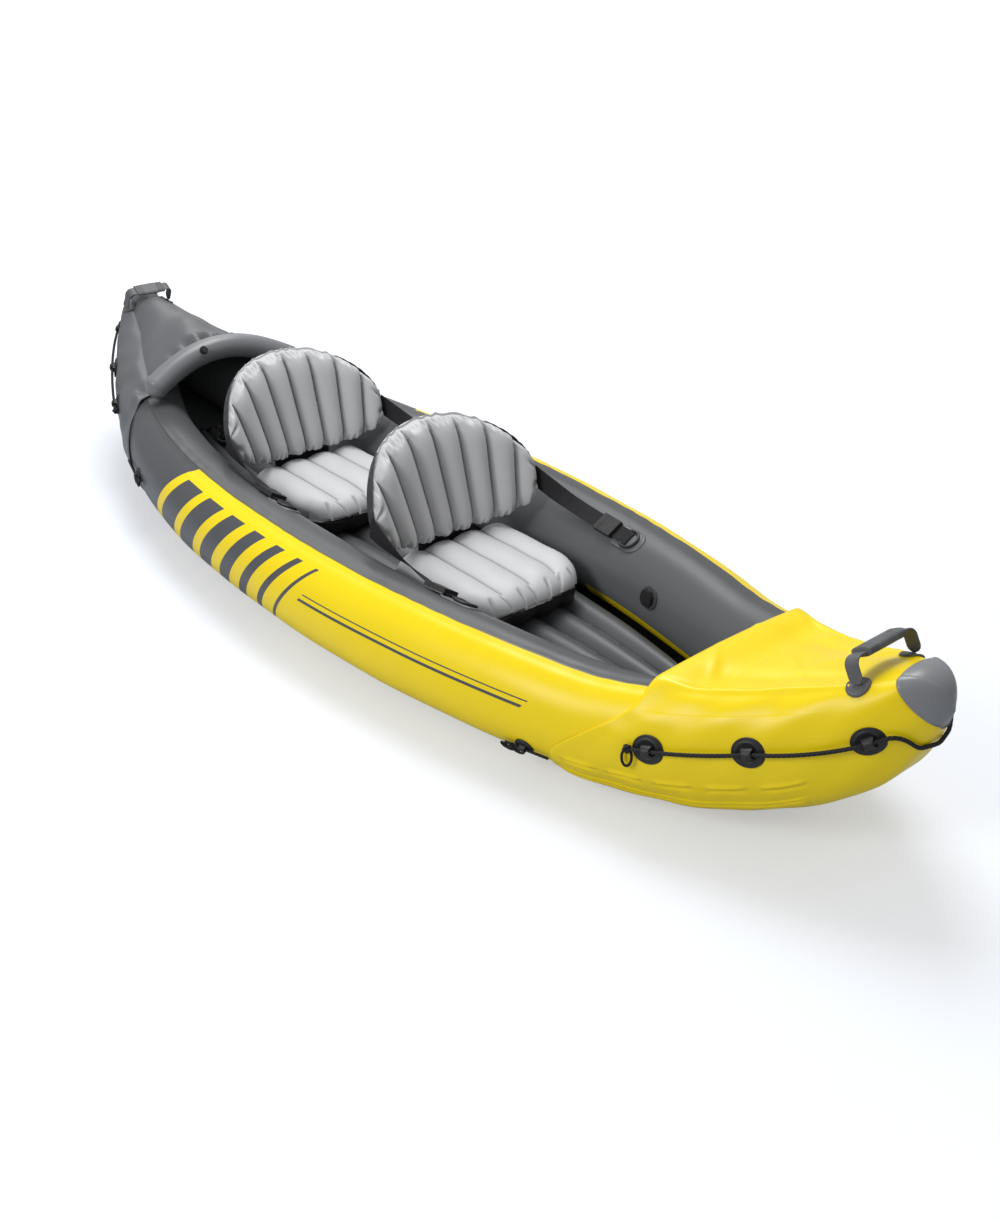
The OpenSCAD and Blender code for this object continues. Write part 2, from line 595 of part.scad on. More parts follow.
// Backrest: upright tubes between a rounded top line and a lower line, cupped forward at both sides
back_widest = 0.24;
back_lift = 5;
back_edge = 0.985;
hinge_share = 0.36;
function back_top(u) = back_height * (back_widest + (1 - back_widest) * pow(1 - pow(abs(u), 2.1), 0.5));
function back_low(u) = back_lift + (back_height * back_widest - back_lift)
    * (1 - pow(1 - pow(abs(u), 4), 0.5));
function back_x(u) = back_wrap * u * u;
hinge_half = hinge_share * back_width / 2;
module seat_base(x) {
    flap = hinge_z(x) - barrel - seat_gap;
    front = x + seat_length - 26;
    color(black) {
        translate([0, 0, base_low(x)]) linear_extrude(panel) {
            translate([x - base_tail, -seat_width / 2 + 6])
                square([front - base_round - x + base_tail, seat_width - 12]);
            translate([front - base_round - 1, -seat_width / 2 + 6 + base_round])
                square([base_round + 1, seat_width - 12 - 2 * base_round]);
            for (s = [-1, 1])
                translate([front - base_round, s * (seat_width / 2 - 6 - base_round)]) circle(r = base_round);
        }
        translate([x - panel / 2, -hinge_half, base_low(x)])
            cube([panel, 2 * hinge_half, flap - base_low(x)]);
    }
}
module reclined(x) {
    translate([x, 0, hinge_z(x)]) rotate([0, -recline, 0]) translate([-x, 0, -hinge_z(x)]) children();
}
function lean_back(v) = [cos(recline) * v.x - sin(recline) * v.z, v.y, sin(recline) * v.x + cos(recline) * v.z];
module backrest(x) {
    rows = 9;
    cols = back_tubes * 4;
    rear = x + panel / 2 + seam_gap;
    function at(i, j, deep) =
        let (v = (1 - cos(180 * i / rows)) / 2, t = j / cols, u = back_edge * (2 * t - 1))
        let (ridge = 0.45 + 0.55 * rib(t, back_tubes), full = fill(v, v < 0.5 ? 8 : 4) * pow(fill(t, 8), 0.6))
        [rear + back_x(u) + (deep > 0 ? edge_tuck + (back_depth - edge_tuck) * full * ridge : 0),
            back_width / 2 * u,
         hinge_z(x) + back_low(u) + (back_top(u) - back_low(u)) * v];
    color(pale) reclined(x) quilt([for (i = [0:rows]) [for (j = [0:cols]) at(i, j, -1)]],
        [for (i = [0:rows]) [for (j = [0:cols]) at(i, j, 1)]]);
}
module back_panel(x) {
    rows = 6;
    cols = 36;
    function low(u) = back_low(u) - back_lift * (1 - ease((abs(u) - hinge_share) / 0.1));
    function at(i, j, deep) =
        let (u = back_edge * (2 * j / cols - 1), z = low(u) + (back_top(u) - 1 - low(u)) * i / rows)
        [x + deep * panel / 2 + back_x(u) * ease(z / back_lift), back_width / 2 * u, hinge_z(x) + z];
    color(grey) reclined(x) {
        quilt([for (i = [0:rows]) [for (j = [0:cols]) at(i, j, -1)]],
            [for (i = [0:rows]) [for (j = [0:cols]) at(i, j, 1)]]);
        translate([x, hinge_half, hinge_z(x)]) rotate([90, 0, 0]) cylinder(r = barrel, h = 2 * hinge_half);
    }
}

// Strap anchors and buckles: they lie along the inner shoulder of the chamber
anchor_angle = 122;
anchor_long = 108;
anchor_wide = 64;
anchor_thick = 2.5;
buckle_from = 36;
buckle_wall = 2.5;
plug_gap = 0.7;
plug_tail = 16;
plug_depth = 30;
buckle_width = strap_width + 8;
function anchor_at(x, side) = tube_at(x + anchor_reach, anchor_angle, side, weld_gap);
function anchor_normal(x, side) = tube_normal(x + anchor_reach, anchor_angle, side);
function anchor_way(x, side) = unit(tube_at(x + anchor_reach - 110, anchor_angle, side)
    - tube_at(x + anchor_reach, anchor_angle, side));
module at_anchor(x, side) {
    n = anchor_normal(x, side);
    stand(anchor_at(x, side), n, spin_to(n, anchor_way(x, side))) children();
}
module anchor(x, side) {
    straight = anchor_long - anchor_wide;
    outline = [for (q = round_outline(anchor_wide, 12)) q + [0, sign(q.y) * straight / 2]];
    color(black) patch(anchor_at(x, side), anchor_normal(x, side), anchor_way(x, side), side, weld_gap,
        outline, anchor_thick);
    color(black) at_anchor(x, side) {
        translate([-strap_width / 2, -14, anchor_thick - 2]) cube([strap_width, 26, 5.5]);
        translate([-strap_width / 2, -14, anchor_thick + 1.5])
            cube([strap_width, buckle_from - seam_gap + 14, strap_thick]);
    }
}
buckle_floor = anchor_thick + seam_gap;
module buckle_socket(x, side) {
    color(black) at_anchor(x, side) difference() {
        translate([-buckle_width / 2, buckle_from, buckle_floor])
            cube([buckle_width, buckle_length, buckle_thick]);
        translate([-buckle_width / 2 + buckle_wall, buckle_from + buckle_length - plug_depth - 4,
            buckle_floor + buckle_wall])
            cube([buckle_width - 2 * buckle_wall, plug_depth + 5, buckle_thick - 2 * buckle_wall]);
    }
}
module buckle_plug(x, side) {
    mouth = buckle_from + buckle_length;
    inside = buckle_width - 2 * buckle_wall - 2 * plug_gap;
    prong = 7;
    thick = buckle_thick - 2 * buckle_wall - 2 * plug_gap;
    low = buckle_floor + buckle_wall + plug_gap;
    color(black) at_anchor(x, side) {
        translate([-buckle_width / 2, mouth + seam_gap, buckle_floor])
            cube([buckle_width, plug_tail, buckle_thick]);
        for (s = [-1, 0, 1]) translate([s * (inside - prong) / 2 - prong / 2, mouth - plug_depth, low])
            cube([prong, plug_depth + seam_gap + 2, thick]);
    }
}
// Strap from the backrest's edge to the buckle: wide at the backrest, webbing width at the buckle
strap_root = 52;
strap_rise = 80;
module strap(x, side) {
    n = anchor_normal(x, side);
    d = anchor_way(x, side);
    tail = buckle_from + buckle_length + plug_tail + 2 * seam_gap;
    plug = anchor_at(x, side) + d * tail + n * (buckle_floor + buckle_thick / 2);
    across = unit(cross(n, d)) * side * -1;
    root = [x, 0, hinge_z(x)]
        + lean_back([back_x(back_edge) + panel + 4, side * (back_edge * back_width / 2 + 1.7), strap_rise]);
    steps = 8;
    function centre(t) = root + (plug - root) * t;
    function wide(t) = (1 - t) * lean_back([0, 0, strap_root / 2]) + t * across * strap_width / 2;
    function thick(t) = unit(cross(plug - root, wide(t))) * strap_thick / 2;
    function row(i, s) = let (t = i / steps, c = centre(t), w = wide(t), k = thick(t) * s)
        [c + w + k, c + k, c - w + k];
    color(black) quilt([for (i = [0:steps]) row(i, -1)], [for (i = [0:steps]) row(i, 1)]);
}

// Screw valves: flange and collar welded to the chamber, cap over the collar
valve_x = 0.444 * nose;
valve_angle = 167;
floor_valve_x = -0.637 * nose;
flange_thick = 3;
collar_rise = 5;
cap_gap = 0.6;
cap_wall = 2.5;
grips = 8;
grip_rib = 4;
collar_wall = 5;
module valve_collar_ring() {
    difference() {
        translate([0, 0, 1]) cylinder(d = valve_collar, h = flange_thick + collar_rise - 1);
        translate([0, 0, flange_thick]) cylinder(d = valve_collar - 2 * collar_wall, h = collar_rise + 1);
    }
}
module wall_valve_base(side) {
    patch(tube_at(valve_x, valve_angle, side, weld_gap), tube_normal(valve_x, valve_angle, side),
        [1, 0, 0], side,
        weld_gap, round_outline(valve_flange, 16), flange_thick);
    on_wall(side) valve_collar_ring();
}
module floor_valve_base() {
    on_floor() {
        cylinder(d = valve_flange, h = flange_thick);
        valve_collar_ring();
    }
}
module valve_cap() {
    skirt = valve_collar / 2 + cap_gap + cap_wall;
    difference() {
        union() {
            translate([0, 0, flange_thick + cap_gap]) cylinder(r = skirt, h = collar_rise + cap_wall);
            for (k = [0:grips - 1]) rotate([0, 0, 360 * (k + 0.5) / grips])
                translate([skirt - 1, -grip_rib / 2, flange_thick + cap_gap + 1])
                cube([2.5, grip_rib, collar_rise + cap_wall - 2]);
        }
        translate([0, 0, flange_thick + cap_gap - 1])
            cylinder(d = valve_collar + 2 * cap_gap, h = collar_rise + 1);
    }
}
module on_wall(side) {
    stand(tube_at(valve_x, valve_angle, side, weld_gap), tube_normal(valve_x, valve_angle, side))
        children();
}
module on_floor() {
    slope = floor_line(floor_valve_x + 1) - floor_line(floor_valve_x - 1);
    n = unit([-slope / 2, 0, 1]);
    stand([floor_valve_x, 0, floor_line(floor_valve_x)] + n * seat_gap, n) children();
}
arch_valve_angle = -15;
arch_valve_lean = 30;
module arch_valve() {
    t = unit(arch_at(arch_valve_angle + 10) - arch_at(arch_valve_angle - 10));
    b = unit(cross(t, [0, 0, 1]));
    n = cos(arch_valve_lean) * b + sin(arch_valve_lean) * cross(b, t);
    color(grey) stand(arch_at(arch_valve_angle) + n * (arch_radius + seat_gap), n) {
        cylinder(d = 24, h = 2);
        cylinder(d = 13, h = 6);
        translate([0, 0, 5]) cylinder(d = 17, h = 4);
    }
}

bottom_skin();
floor_chamber();
starboard_chamber();
port_chamber();
bow_cover();
stern_cover();
stern_arch();
bow_cap();
stern_cap();
color(grey) lean(1, bow_handle_lean)  // bow_handle_strap
    handle_strap(1, bow_handle_rise);
color(grey) lean(1, bow_handle_lean)  // bow_handle_grip
    handle_grip(1, bow_handle_rise);
color(grey) handle_tabs(1);  // bow_handle_tabs
color(black) line_pads(1, -1);  // bow_line_pads_starboard
color(black) line_pads(1, 1);  // bow_line_pads_port
color(black) grab_line(1);  // bow_grab_line
color(black) tie_pads(1);  // bow_tie_pads
color(black) tie_cord_run(1, -1);  // bow_tie_cord_starboard
color(black) tie_cord_run(1, 1);  // bow_tie_cord_port
color(grey) lean(-1, stern_handle_lean)  // stern_handle_strap
    handle_strap(-1, stern_handle_rise);
color(grey) lean(-1, stern_handle_lean)  // stern_handle_grip
    handle_grip(-1, stern_handle_rise);
color(grey) handle_tabs(-1);  // stern_handle_tabs
color(black) line_pads(-1, -1);  // stern_line_pads_starboard
color(black) line_pads(-1, 1);  // stern_line_pads_port
color(black) grab_line(-1);  // stern_grab_line
color(black) tie_pads(-1);  // stern_tie_pads
color(black) tie_cord_run(-1, -1);  // stern_tie_cord_starboard
color(black) tie_cord_run(-1, 1);  // stern_tie_cord_port
seat_base(front_seat);  // front_seat_base
seat_cushion(front_seat);  // front_seat_cushion
backrest(front_seat);  // front_backrest
back_panel(front_seat);  // front_back_panel
strap(front_seat, -1);  // front_strap_starboard
strap(front_seat, 1);  // front_strap_port
anchor(front_seat, -1);  // front_anchor_starboard
anchor(front_seat, 1);  // front_anchor_port
buckle_socket(front_seat, -1);  // front_buckle_socket_starboard
buckle_socket(front_seat, 1);  // front_buckle_socket_port
buckle_plug(front_seat, -1);  // front_buckle_plug_starboard
buckle_plug(front_seat, 1);  // front_buckle_plug_port
seat_base(rear_seat);  // rear_seat_base
seat_cushion(rear_seat);  // rear_seat_cushion
backrest(rear_seat);  // rear_backrest
back_panel(rear_seat);  // rear_back_panel
strap(rear_seat, -1);  // rear_strap_starboard
strap(rear_seat, 1);  // rear_strap_port
anchor(rear_seat, -1);  // rear_anchor_starboard
anchor(rear_seat, 1);  // rear_anchor_port
buckle_socket(rear_seat, -1);  // rear_buckle_socket_starboard
buckle_socket(rear_seat, 1);  // rear_buckle_socket_port
buckle_plug(rear_seat, -1);  // rear_buckle_plug_starboard
buckle_plug(rear_seat, 1);  // rear_buckle_plug_port
color(grey) wall_valve_base(-1);  // starboard_valve_base
color(black) on_wall(-1) valve_cap();  // starboard_valve_cap
color(grey) wall_valve_base(1);  // port_valve_base
color(black) on_wall(1) valve_cap();  // port_valve_cap
color(grey) floor_valve_base();
color(black) on_floor() valve_cap();  // floor_valve_cap
arch_valve();
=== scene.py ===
import bpy
import numpy as np
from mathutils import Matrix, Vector


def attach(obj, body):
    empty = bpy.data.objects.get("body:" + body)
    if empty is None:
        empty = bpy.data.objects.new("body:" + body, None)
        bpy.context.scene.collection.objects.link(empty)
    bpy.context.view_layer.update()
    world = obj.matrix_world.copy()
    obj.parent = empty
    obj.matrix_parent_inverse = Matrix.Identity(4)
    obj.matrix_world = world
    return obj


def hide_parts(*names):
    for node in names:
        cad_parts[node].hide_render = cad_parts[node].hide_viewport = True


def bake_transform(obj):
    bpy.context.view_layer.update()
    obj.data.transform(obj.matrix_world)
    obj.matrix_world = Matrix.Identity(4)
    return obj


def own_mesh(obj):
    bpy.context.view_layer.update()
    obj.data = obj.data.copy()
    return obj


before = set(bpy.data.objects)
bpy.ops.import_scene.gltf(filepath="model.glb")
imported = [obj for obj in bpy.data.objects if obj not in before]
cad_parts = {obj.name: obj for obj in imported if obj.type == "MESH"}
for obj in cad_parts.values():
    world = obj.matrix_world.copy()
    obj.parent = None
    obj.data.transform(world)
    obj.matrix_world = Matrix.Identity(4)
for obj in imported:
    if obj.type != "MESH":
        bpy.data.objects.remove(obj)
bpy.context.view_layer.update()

eye = Vector((2.324, -1.632, 1.495))
looks_at = Vector((-0.054, 0.340, -0.239))
camera = bpy.data.objects.new("camera", bpy.data.cameras.new("camera"))
camera.location = eye
camera.rotation_euler = (looks_at - eye).to_track_quat("-Z", "Y").to_euler()
camera.data.lens = 36.43
camera.data.sensor_width = 36
bpy.context.scene.collection.objects.link(camera)
bpy.context.scene.camera = camera
bpy.context.scene.view_settings.view_transform = "Standard"


def soft_lamp(name, place, aim, size, watts):
    """A square area lamp that stands at a place and shines at a point."""
    lamp = bpy.data.lights.new(name, "AREA")
    lamp.size = size
    lamp.energy = watts
    holder = bpy.data.objects.new(name, lamp)
    holder.location = place
    holder.rotation_euler = (Vector(aim) - Vector(place)).to_track_quat("-Z", "Y").to_euler()
    bpy.context.scene.collection.objects.link(holder)


soft_lamp("top_lamp", (-0.9, 0.9, 4.0), (0, 0, 0.2), 2.2, 124)
soft_lamp("side_lamp", (0.2, -4.4, 3.0), (0.3, 0, 0.2), 1.6, 98)
soft_lamp("rim_lamp", (-3.4, 1.8, 3.2), (-1.0, 0, 0.3), 2.6, 36)


class Shade:
    """A shader socket of one material. Arithmetic on it adds Math nodes, and node() adds any other node."""

    def __init__(self, tree, socket=None):
        self.tree, self.socket = tree, socket

    def node(self, kind, settings, inputs, out=0):
        """Adds a node from its type, its settings, and the values or links of its sockets."""
        made = self.tree.nodes.new("ShaderNode" + kind)
        for key, value in settings.items():
            setattr(made, key, value)
        for key, value in inputs.items():
            if isinstance(value, Shade):
                self.tree.links.new(made.inputs[key], value.socket)
            else:
                made.inputs[key].default_value = value
        return Shade(self.tree, made.outputs[out])

    def math(self, operation, *values):
        return self.node("Math", {"operation": operation}, dict(enumerate(values)))

    def __add__(self, other):
        return self.math("ADD", self, other)

    def __sub__(self, other):
        return self.math("SUBTRACT", self, other)

    def __rsub__(self, other):
        return self.math("SUBTRACT", other, self)

    def __mul__(self, other):
        return self.math("MULTIPLY", self, other)

    def __truediv__(self, other):
        return self.math("DIVIDE", self, other)

    def __gt__(self, other):
        return self.math("GREATER_THAN", self, other)

    def __lt__(self, other):
        return self.math("LESS_THAN", self, other)

    __radd__, __rmul__ = __add__, __mul__

    def mix(self, share, first, second):
        """A colour between two, by a share."""
        return self.node("Mix", {"data_type": "RGBA"}, {0: share, 6: first, 7: second}, out=2)

    def spot(self):
        """The piece's own coordinates, in metres."""
        return self.node("TexCoord", {}, {}, out=3)

    def noise(self, scale, detail=3.0):
        """Noise on the piece's own coordinates, in cycles a metre."""
        return self.node("TexNoise", {},
                         {"Vector": self.spot(), "Scale": scale, "Detail": detail, "Roughness": 0.55})

    def threads(self, way, scale, wander):
        """Even bands across one way of the piece, as threads lie."""
        return self.node("TexWave", {"wave_type": "BANDS", "bands_direction": way},
                         {"Vector": self.spot(), "Scale": scale, "Distortion": wander})

    def bump(self, strength, distance, height):
        """A small relief from a height."""
        return self.node("Bump", {}, {"Strength": strength, "Distance": distance, "Height": height})

    def surface(self):
        """The two values of the piece's own UV map."""
        first = self.node("SeparateXYZ", {}, {0: self.node("UVMap", {"uv_map": "surface"}, {})})
        return first, Shade(self.tree, first.socket.node.outputs[1])


def ink(red, green, blue):
    """A screen colour of 0 to 255 a channel as linear red, green, blue and 1."""
    c = np.array([red, green, blue]) / 255
    return (*np.where(c < 0.0405, c / 12.92, ((c + 0.055) / 1.055) ** 2.4).tolist(), 1.0)


def finish(name, recipe, **fixed):
    """A material from a recipe that gives what changes over the surface, and from sockets that are fixed."""
    made = bpy.data.materials.new(name)
    made.use_nodes = True
    shader = made.node_tree.nodes["Principled BSDF"]
    for key, value in fixed.items():
        shader.inputs[key.replace("_", " ")].default_value = value
    for key, value in recipe(Shade(made.node_tree)).items():
        if isinstance(value, Shade):
            made.node_tree.links.new(shader.inputs[key], value.socket)
        else:
            shader.inputs[key].default_value = value
    return made


def floor_paint(s):
    """Matt white, lifted for the camera alone, and more so far from the boat, where it stays white."""
    speck = s.noise(3.0)
    ray = s.node("LightPath", {}, {}, out=0)
    far = s.node("VectorMath", {"operation": "LENGTH"}, {0: s.spot()}, out=1)
    lift = s.node("MapRange", {"interpolation_type": "SMOOTHSTEP"},
                  {"Value": far, "From Min": 1.2, "From Max": 4.5, "To Min": 0.42, "To Max": 0.8})
    tone = s.mix(speck, ink(188, 193, 203), ink(191, 196, 205))
    return {"Base Color": tone, "Roughness": 0.9 + 0.05 * speck,
            "Emission Color": s.mix(ray * lift, (0, 0, 0, 1), (1, 1, 1, 1)), "Emission Strength": 1.0}


reach = 40.0
floor_corners = [(-reach, -reach, 0), (reach, -reach, 0), (reach, reach, 0), (-reach, reach, 0)]
floor = bpy.data.meshes.new("studio_floor")
floor.from_pydata(floor_corners, [], [(0, 1, 2, 3)])
floor.materials.append(finish("floor_paint", floor_paint, Specular_IOR_Level=0.0))
floor_object = bpy.data.objects.new("studio_floor", floor)
bpy.context.scene.collection.objects.link(floor_object)
sky = bpy.data.worlds.new("studio_sky")
bpy.context.scene.world = sky
sky.use_nodes = True
ray = Shade(sky.node_tree).node("LightPath", {}, {}, out=0)
sky_light = sky.node_tree.nodes["Background"]
sky_light.inputs["Color"].default_value = (1, 1, 1, 1)
sky.node_tree.links.new(sky_light.inputs["Strength"], (0.46 + ray * 0.54).socket)


# Side chambers: two long air tubes of welded vinyl that carry the boat, yellow outboard and grey elsewhere.
# A weld runs the length of each tube where the colours meet, and slanted grey bars mark the after part.
length, beam, well, gunwale, keel = 3.024, 0.912, 0.438, 0.257, 0.023
nose = length / 2 - 0.008
well_end, flat_run, bow_knuckle = 0.845 * nose, 0.266 * nose, 0.465 * nose
bow_turn, stern_turn, nose_round, chamber_end = 0.597 * nose, 0.571 * nose, 0.074, 0.93 * nose


def ease(v):
    """A smooth step from 0 to 1."""
    t = np.clip(v, 0, 1)
    return t * t * (3 - 2 * t)


def hump(v, width):
    """A smooth bump of height 1 at 0 that fades over a width."""
    return np.exp(-(v / width) ** 2)


def ramp(x, start):
    """0 up to a start, then rising evenly to 1 at the nose."""
    return np.maximum((np.abs(x) - start) / (nose - start), 0)


def along(x):
    """The share of the way from amidships to the nose."""
    return np.clip(np.abs(x) / nose, 0, 1)


def breadth(x):
    """Half the beam at a station: a power curve, fuller aft than forward."""
    return beam / 2 * (1 - along(x) ** np.where(x > 0, 1.83, 2.28)) ** np.where(x > 0, 0.69, 0.79)


def inner(x):
    """Half the width of the well between the tubes."""
    return np.maximum(well / 2 * (1 - np.clip(np.abs(x) / well_end, 0, 1) ** 2.42), 0.0008)


def tube_mid(x):
    """How far a tube's middle line lies from the boat's."""
    return (breadth(x) + inner(x)) / 2


def sheer(x):
    """Height of the tubes' top line: level amidships, swept up to both ends."""
    return gunwale + np.where(x > 0, 0.2 * ramp(x, bow_turn) ** 1.6 - 0.011 * along(x) ** 2.2,
                              0.158 * ramp(x, stern_turn) ** 1.5 + 0.05 * along(x) ** 2.2)


def rocker(x):
    """Height of the tubes' underside: flat amidships, lifting to both ends."""
    return keel + np.where(x > 0, 0.022 * ramp(x, flat_run) ** 2.2 + 0.255 * ramp(x, bow_knuckle) ** 4.8,
                           0.081 * ramp(x, flat_run) ** 2.2 + 0.201 * ramp(x, stern_turn) ** 2)


def rounding(x):
    """Draws the height in to nothing on a quarter circle at each nose."""
    return np.sqrt(1 - np.clip((np.abs(x) - nose + nose_round) / nose_round, 0, 1) ** 2)


def mid_z(x):
    """Height of a tube's middle line."""
    return (sheer(x) + rocker(x)) / 2


def half_z(x):
    """Half a tube's height."""
    return (sheer(x) - rocker(x)) / 2 * rounding(x)


def tube(x, angle, side, off=0.0):
    """A point on a tube: an ellipse round its middle line, with angle 0 outboard and 90 degrees on top."""
    x, a = np.broadcast_arrays(np.asarray(x, float), np.radians(angle))
    return np.stack([x, side * (tube_mid(x) + ((breadth(x) - inner(x)) / 2 + off) * np.cos(a)),
                     mid_z(x) + (half_z(x) + off) * np.sin(a)], -1)


def unit(v):
    """Vectors of the same way and length 1."""
    return v / np.maximum(np.linalg.norm(v, axis=-1, keepdims=True), 1e-12)


def tube_normal(x, angle, side):
    """The outward normal of a tube, from the cross product of its two slopes."""
    a = tube(x + 0.001, angle, side) - tube(x - 0.001, angle, side)
    b = tube(x, angle + 1.0, side) - tube(x, angle - 1.0, side)
    n = unit(np.cross(a, b))
    outward = np.stack([0 * n[..., 0], side * np.cos(np.radians(angle)) + 0 * n[..., 0],
                        np.sin(np.radians(angle)) + 0 * n[..., 0]], -1)
    return n * np.sign((n * outward).sum(-1, keepdims=True))


def skin(name, grid, ends, uv=None, flip=None):
    """A mesh on rings of points: quads between the rings and a fan to each end's point, where there is one.
    A closed mesh is turned outwards by the sign of its volume, an open one by flip."""
    n, m = grid.shape[:2]
    points = grid.reshape(-1, 3)
    j = np.arange(m)
    k = (j + 1) % m
    i = np.arange(n - 1)[:, None] * m
    quads = np.stack([i + j, i + m + j, i + m + k, i + k], -1).reshape(-1, 4)
    fans, tips = [], []
    for row, tip in ((0, ends[0]), (n - 1, ends[1])):
        if tip is not None:
            at = len(points) + len(tips)
            tips.append(np.asarray(tip, float))
            tri = np.stack([row * m + j, row * m + k, np.full_like(j, at)], -1)
            fans.append(tri if row == 0 else tri[:, ::-1])
    points = np.concatenate([points, np.array(tips)])
    fans = np.concatenate(fans)
    if flip is None:
        every = np.concatenate([quads[:, [0, 1, 2]], quads[:, [0, 2, 3]], fans])
        a, b, c = (points[every[:, q]] for q in range(3))
        flip = np.einsum("ij,ij->i", a, np.cross(b, c)).sum() < 0
    if flip:
        quads, fans = quads[:, ::-1], fans[:, ::-1]
    mesh = bpy.data.meshes.new(name)
    mesh.vertices.add(len(points))
    mesh.vertices.foreach_set("co", points.astype(np.float32).ravel())
    corners = np.concatenate([quads.ravel(), fans.ravel()]).astype(np.int32)
    counts = np.concatenate([np.full(len(quads), 4), np.full(len(fans), 3)])
    mesh.loops.add(len(corners))
    mesh.loops.foreach_set("vertex_index", corners)
    mesh.polygons.add(len(counts))
    mesh.polygons.foreach_set("loop_start", np.concatenate([[0], np.cumsum(counts)[:-1]]).astype(np.int32))
    mesh.polygons.foreach_set("use_smooth", np.full(len(counts), True))
    if uv is not None:
        flat = np.concatenate([uv.reshape(-1, 2), np.zeros((len(tips), 2))])[corners]
        ring = flat[:len(quads) * 4].reshape(-1, 4, 2)
        ring[:, :, 1] += ring[:, :, 1] < ring[:, :, 1].max(1, keepdims=True) - 0.5
        mesh.uv_layers.new(name="surface").data.foreach_set("uv", flat.astype(np.float32).ravel())
    mesh.update()
    mesh.validate()
    made = bpy.data.objects.new(name, mesh)
    bpy.context.scene.collection.objects.link(made)
    return made


def dress(piece, body, material, node):
    """Gives a piece its material and slot, lets it ride on a body, and hides the solid that it stands for."""
    piece.data.materials.append(material)
    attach(piece, body)
    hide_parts(node)


def vinyl_coat(s, tone, rough=0.34, grain=0.00012):
    """Smooth coated vinyl: a faint mottle, a fine orange-peel grain and slow changes of gloss."""
    peel = s.noise(420.0, 2.0)
    cloud = s.noise(5.0, 4.0)
    shaded = s.node("HueSaturation", {}, {"Color": tone, "Value": 0.965 + 0.07 * cloud})
    return {"Base Color": shaded, "Roughness": rough + 0.1 * (cloud - 0.5) + 0.04 * peel,
            "Normal": s.bump(0.35, grain, peel)}


yellow, mid_grey, dark_grey = ink(242, 213, 2), ink(76, 78, 80), ink(76, 78, 81)
seam_angle, tuck_angle, bar_angle = 78, 206, 58
seam_turn, tuck_turn, bar_top = (seam_angle + 90) / 360, (tuck_angle + 90) / 360, (bar_angle + 90) / 360
first_bar, bar_slant, tuck_from = -0.56, 0.55, 0.42
bars_at = ((-0.52, -0.425), (-0.385, -0.305), (-0.262, -0.196), (-0.150, -0.100), (-0.052, -0.016),
           (0.034, 0.057), (0.106, 0.118))
pinstripes, stripes_from, stripes_to = ((0.296, 0.305), (0.318, 0.322)), 0.16, 0.80


def chamber_paint(s):
    """Yellow below the weld and grey above it, with slanted bars that thin out forward, and two stripes. The
    grey is painted darker on top and lighter down the inner wall, as painted shade and light.
    """
    x, turn = s.surface()
    slant = x - (turn - 0.25) * bar_slant
    marks = slant < first_bar
    for back, front in bars_at:
        marks = marks + (slant > back) * (slant < front) * (turn < bar_top)
    for low, high in pinstripes:
        marks = marks + (turn > low) * (turn < high) * (slant > stripes_from) * (slant < stripes_to)
    outside = (turn < seam_turn) + (turn > tuck_turn) * (x > tuck_from)
    painted = s.mix(s.math("MINIMUM", marks, 1.0), yellow, dark_grey)
    # Painted light and shade: the same grey vinyl runs from dark on the tube's top to lighter down the inner
    # wall, standing in for how the light falls.
    inside = s.mix((turn - 0.5) * 3.2, mid_grey, ink(110, 112, 114))
    weld = s.math("ABSOLUTE", turn - seam_turn) < 0.0032
    body = s.mix(s.math("MINIMUM", outside, 1.0), inside, painted)
    return vinyl_coat(s, s.mix(weld * 0.75, body, ink(52, 52, 50)))


chamber_vinyl = finish("chamber_vinyl", chamber_paint, Specular_IOR_Level=0.36)
stations = np.linspace(-chamber_end, chamber_end, 281)[:, None]
turns = np.linspace(0, 1, 132, endpoint=False)[None, :]
angles = turns * 360 - 90
from_seam = angles - seam_angle
swell = 0.0007 * np.sin(stations * 9.1 + 2.2 * np.sin(angles / 57.3))
swell = swell + 0.0005 * np.sin(stations * 23 + angles / 21)
swell = swell + 0.0016 * hump(from_seam, 1.9) - 0.0011 * (hump(from_seam + 8, 4) + hump(from_seam - 8, 4))
swell = swell - 0.0012 * hump(from_seam, 9) * (0.5 + 0.5 * np.sin(stations * 71 + 3 * np.sin(stations * 13)))
chamber_cap = 0.014
boards = (("starboard", -1), ("port", 1))
for side_name, side in boards:
    rows = tube(stations, angles, side, swell)
    chamber_uv = np.stack(np.broadcast_arrays(stations, turns), -1)
    caps = [[x + np.sign(x) * chamber_cap, side * tube_mid(x), mid_z(x)] for x in (-chamber_end, chamber_end)]
    piece = skin(side_name + "_chamber_tube", rows, caps, chamber_uv)
    dress(piece, "hull", chamber_vinyl, side_name + "_chamber")


# Bottom skin: heavy black vinyl under the boat, welded to the underside of both side tubes.
# The floor above it presses ribs into it, and it is flat where it lies on the ground.
skin_front, skin_back, ribs = 0.82 * nose, -0.73 * nose, 5
skin_x = np.linspace(skin_back, skin_front, 150)[:, None]
skin_t = np.linspace(0, 1, 101)[None, :]
skin_share = np.where(skin_x > 0, skin_x / skin_front, skin_x / skin_back)
skin_half = tube_mid(skin_x) * (1 - 0.65 * np.clip(skin_share, 0, 1) ** 6)
skin_top = rocker(skin_x) - 0.0008 - 0.0056 * ease((np.abs(skin_x) - 0.44 * nose) / 0.12)
rib_low = np.abs(np.sin(np.pi * ribs * skin_t)) ** 0.8
skin_low = np.maximum(skin_top - 0.0222 * (0.5 + 0.5 * np.minimum(1, 1.3 * rib_low)), 0)
under = np.stack(np.broadcast_arrays(skin_x, skin_half * (2 * skin_t - 1), skin_low), -1)
over = np.stack(np.broadcast_arrays(skin_x, skin_half * (2 * skin_t[:, ::-4] - 1), skin_top), -1)


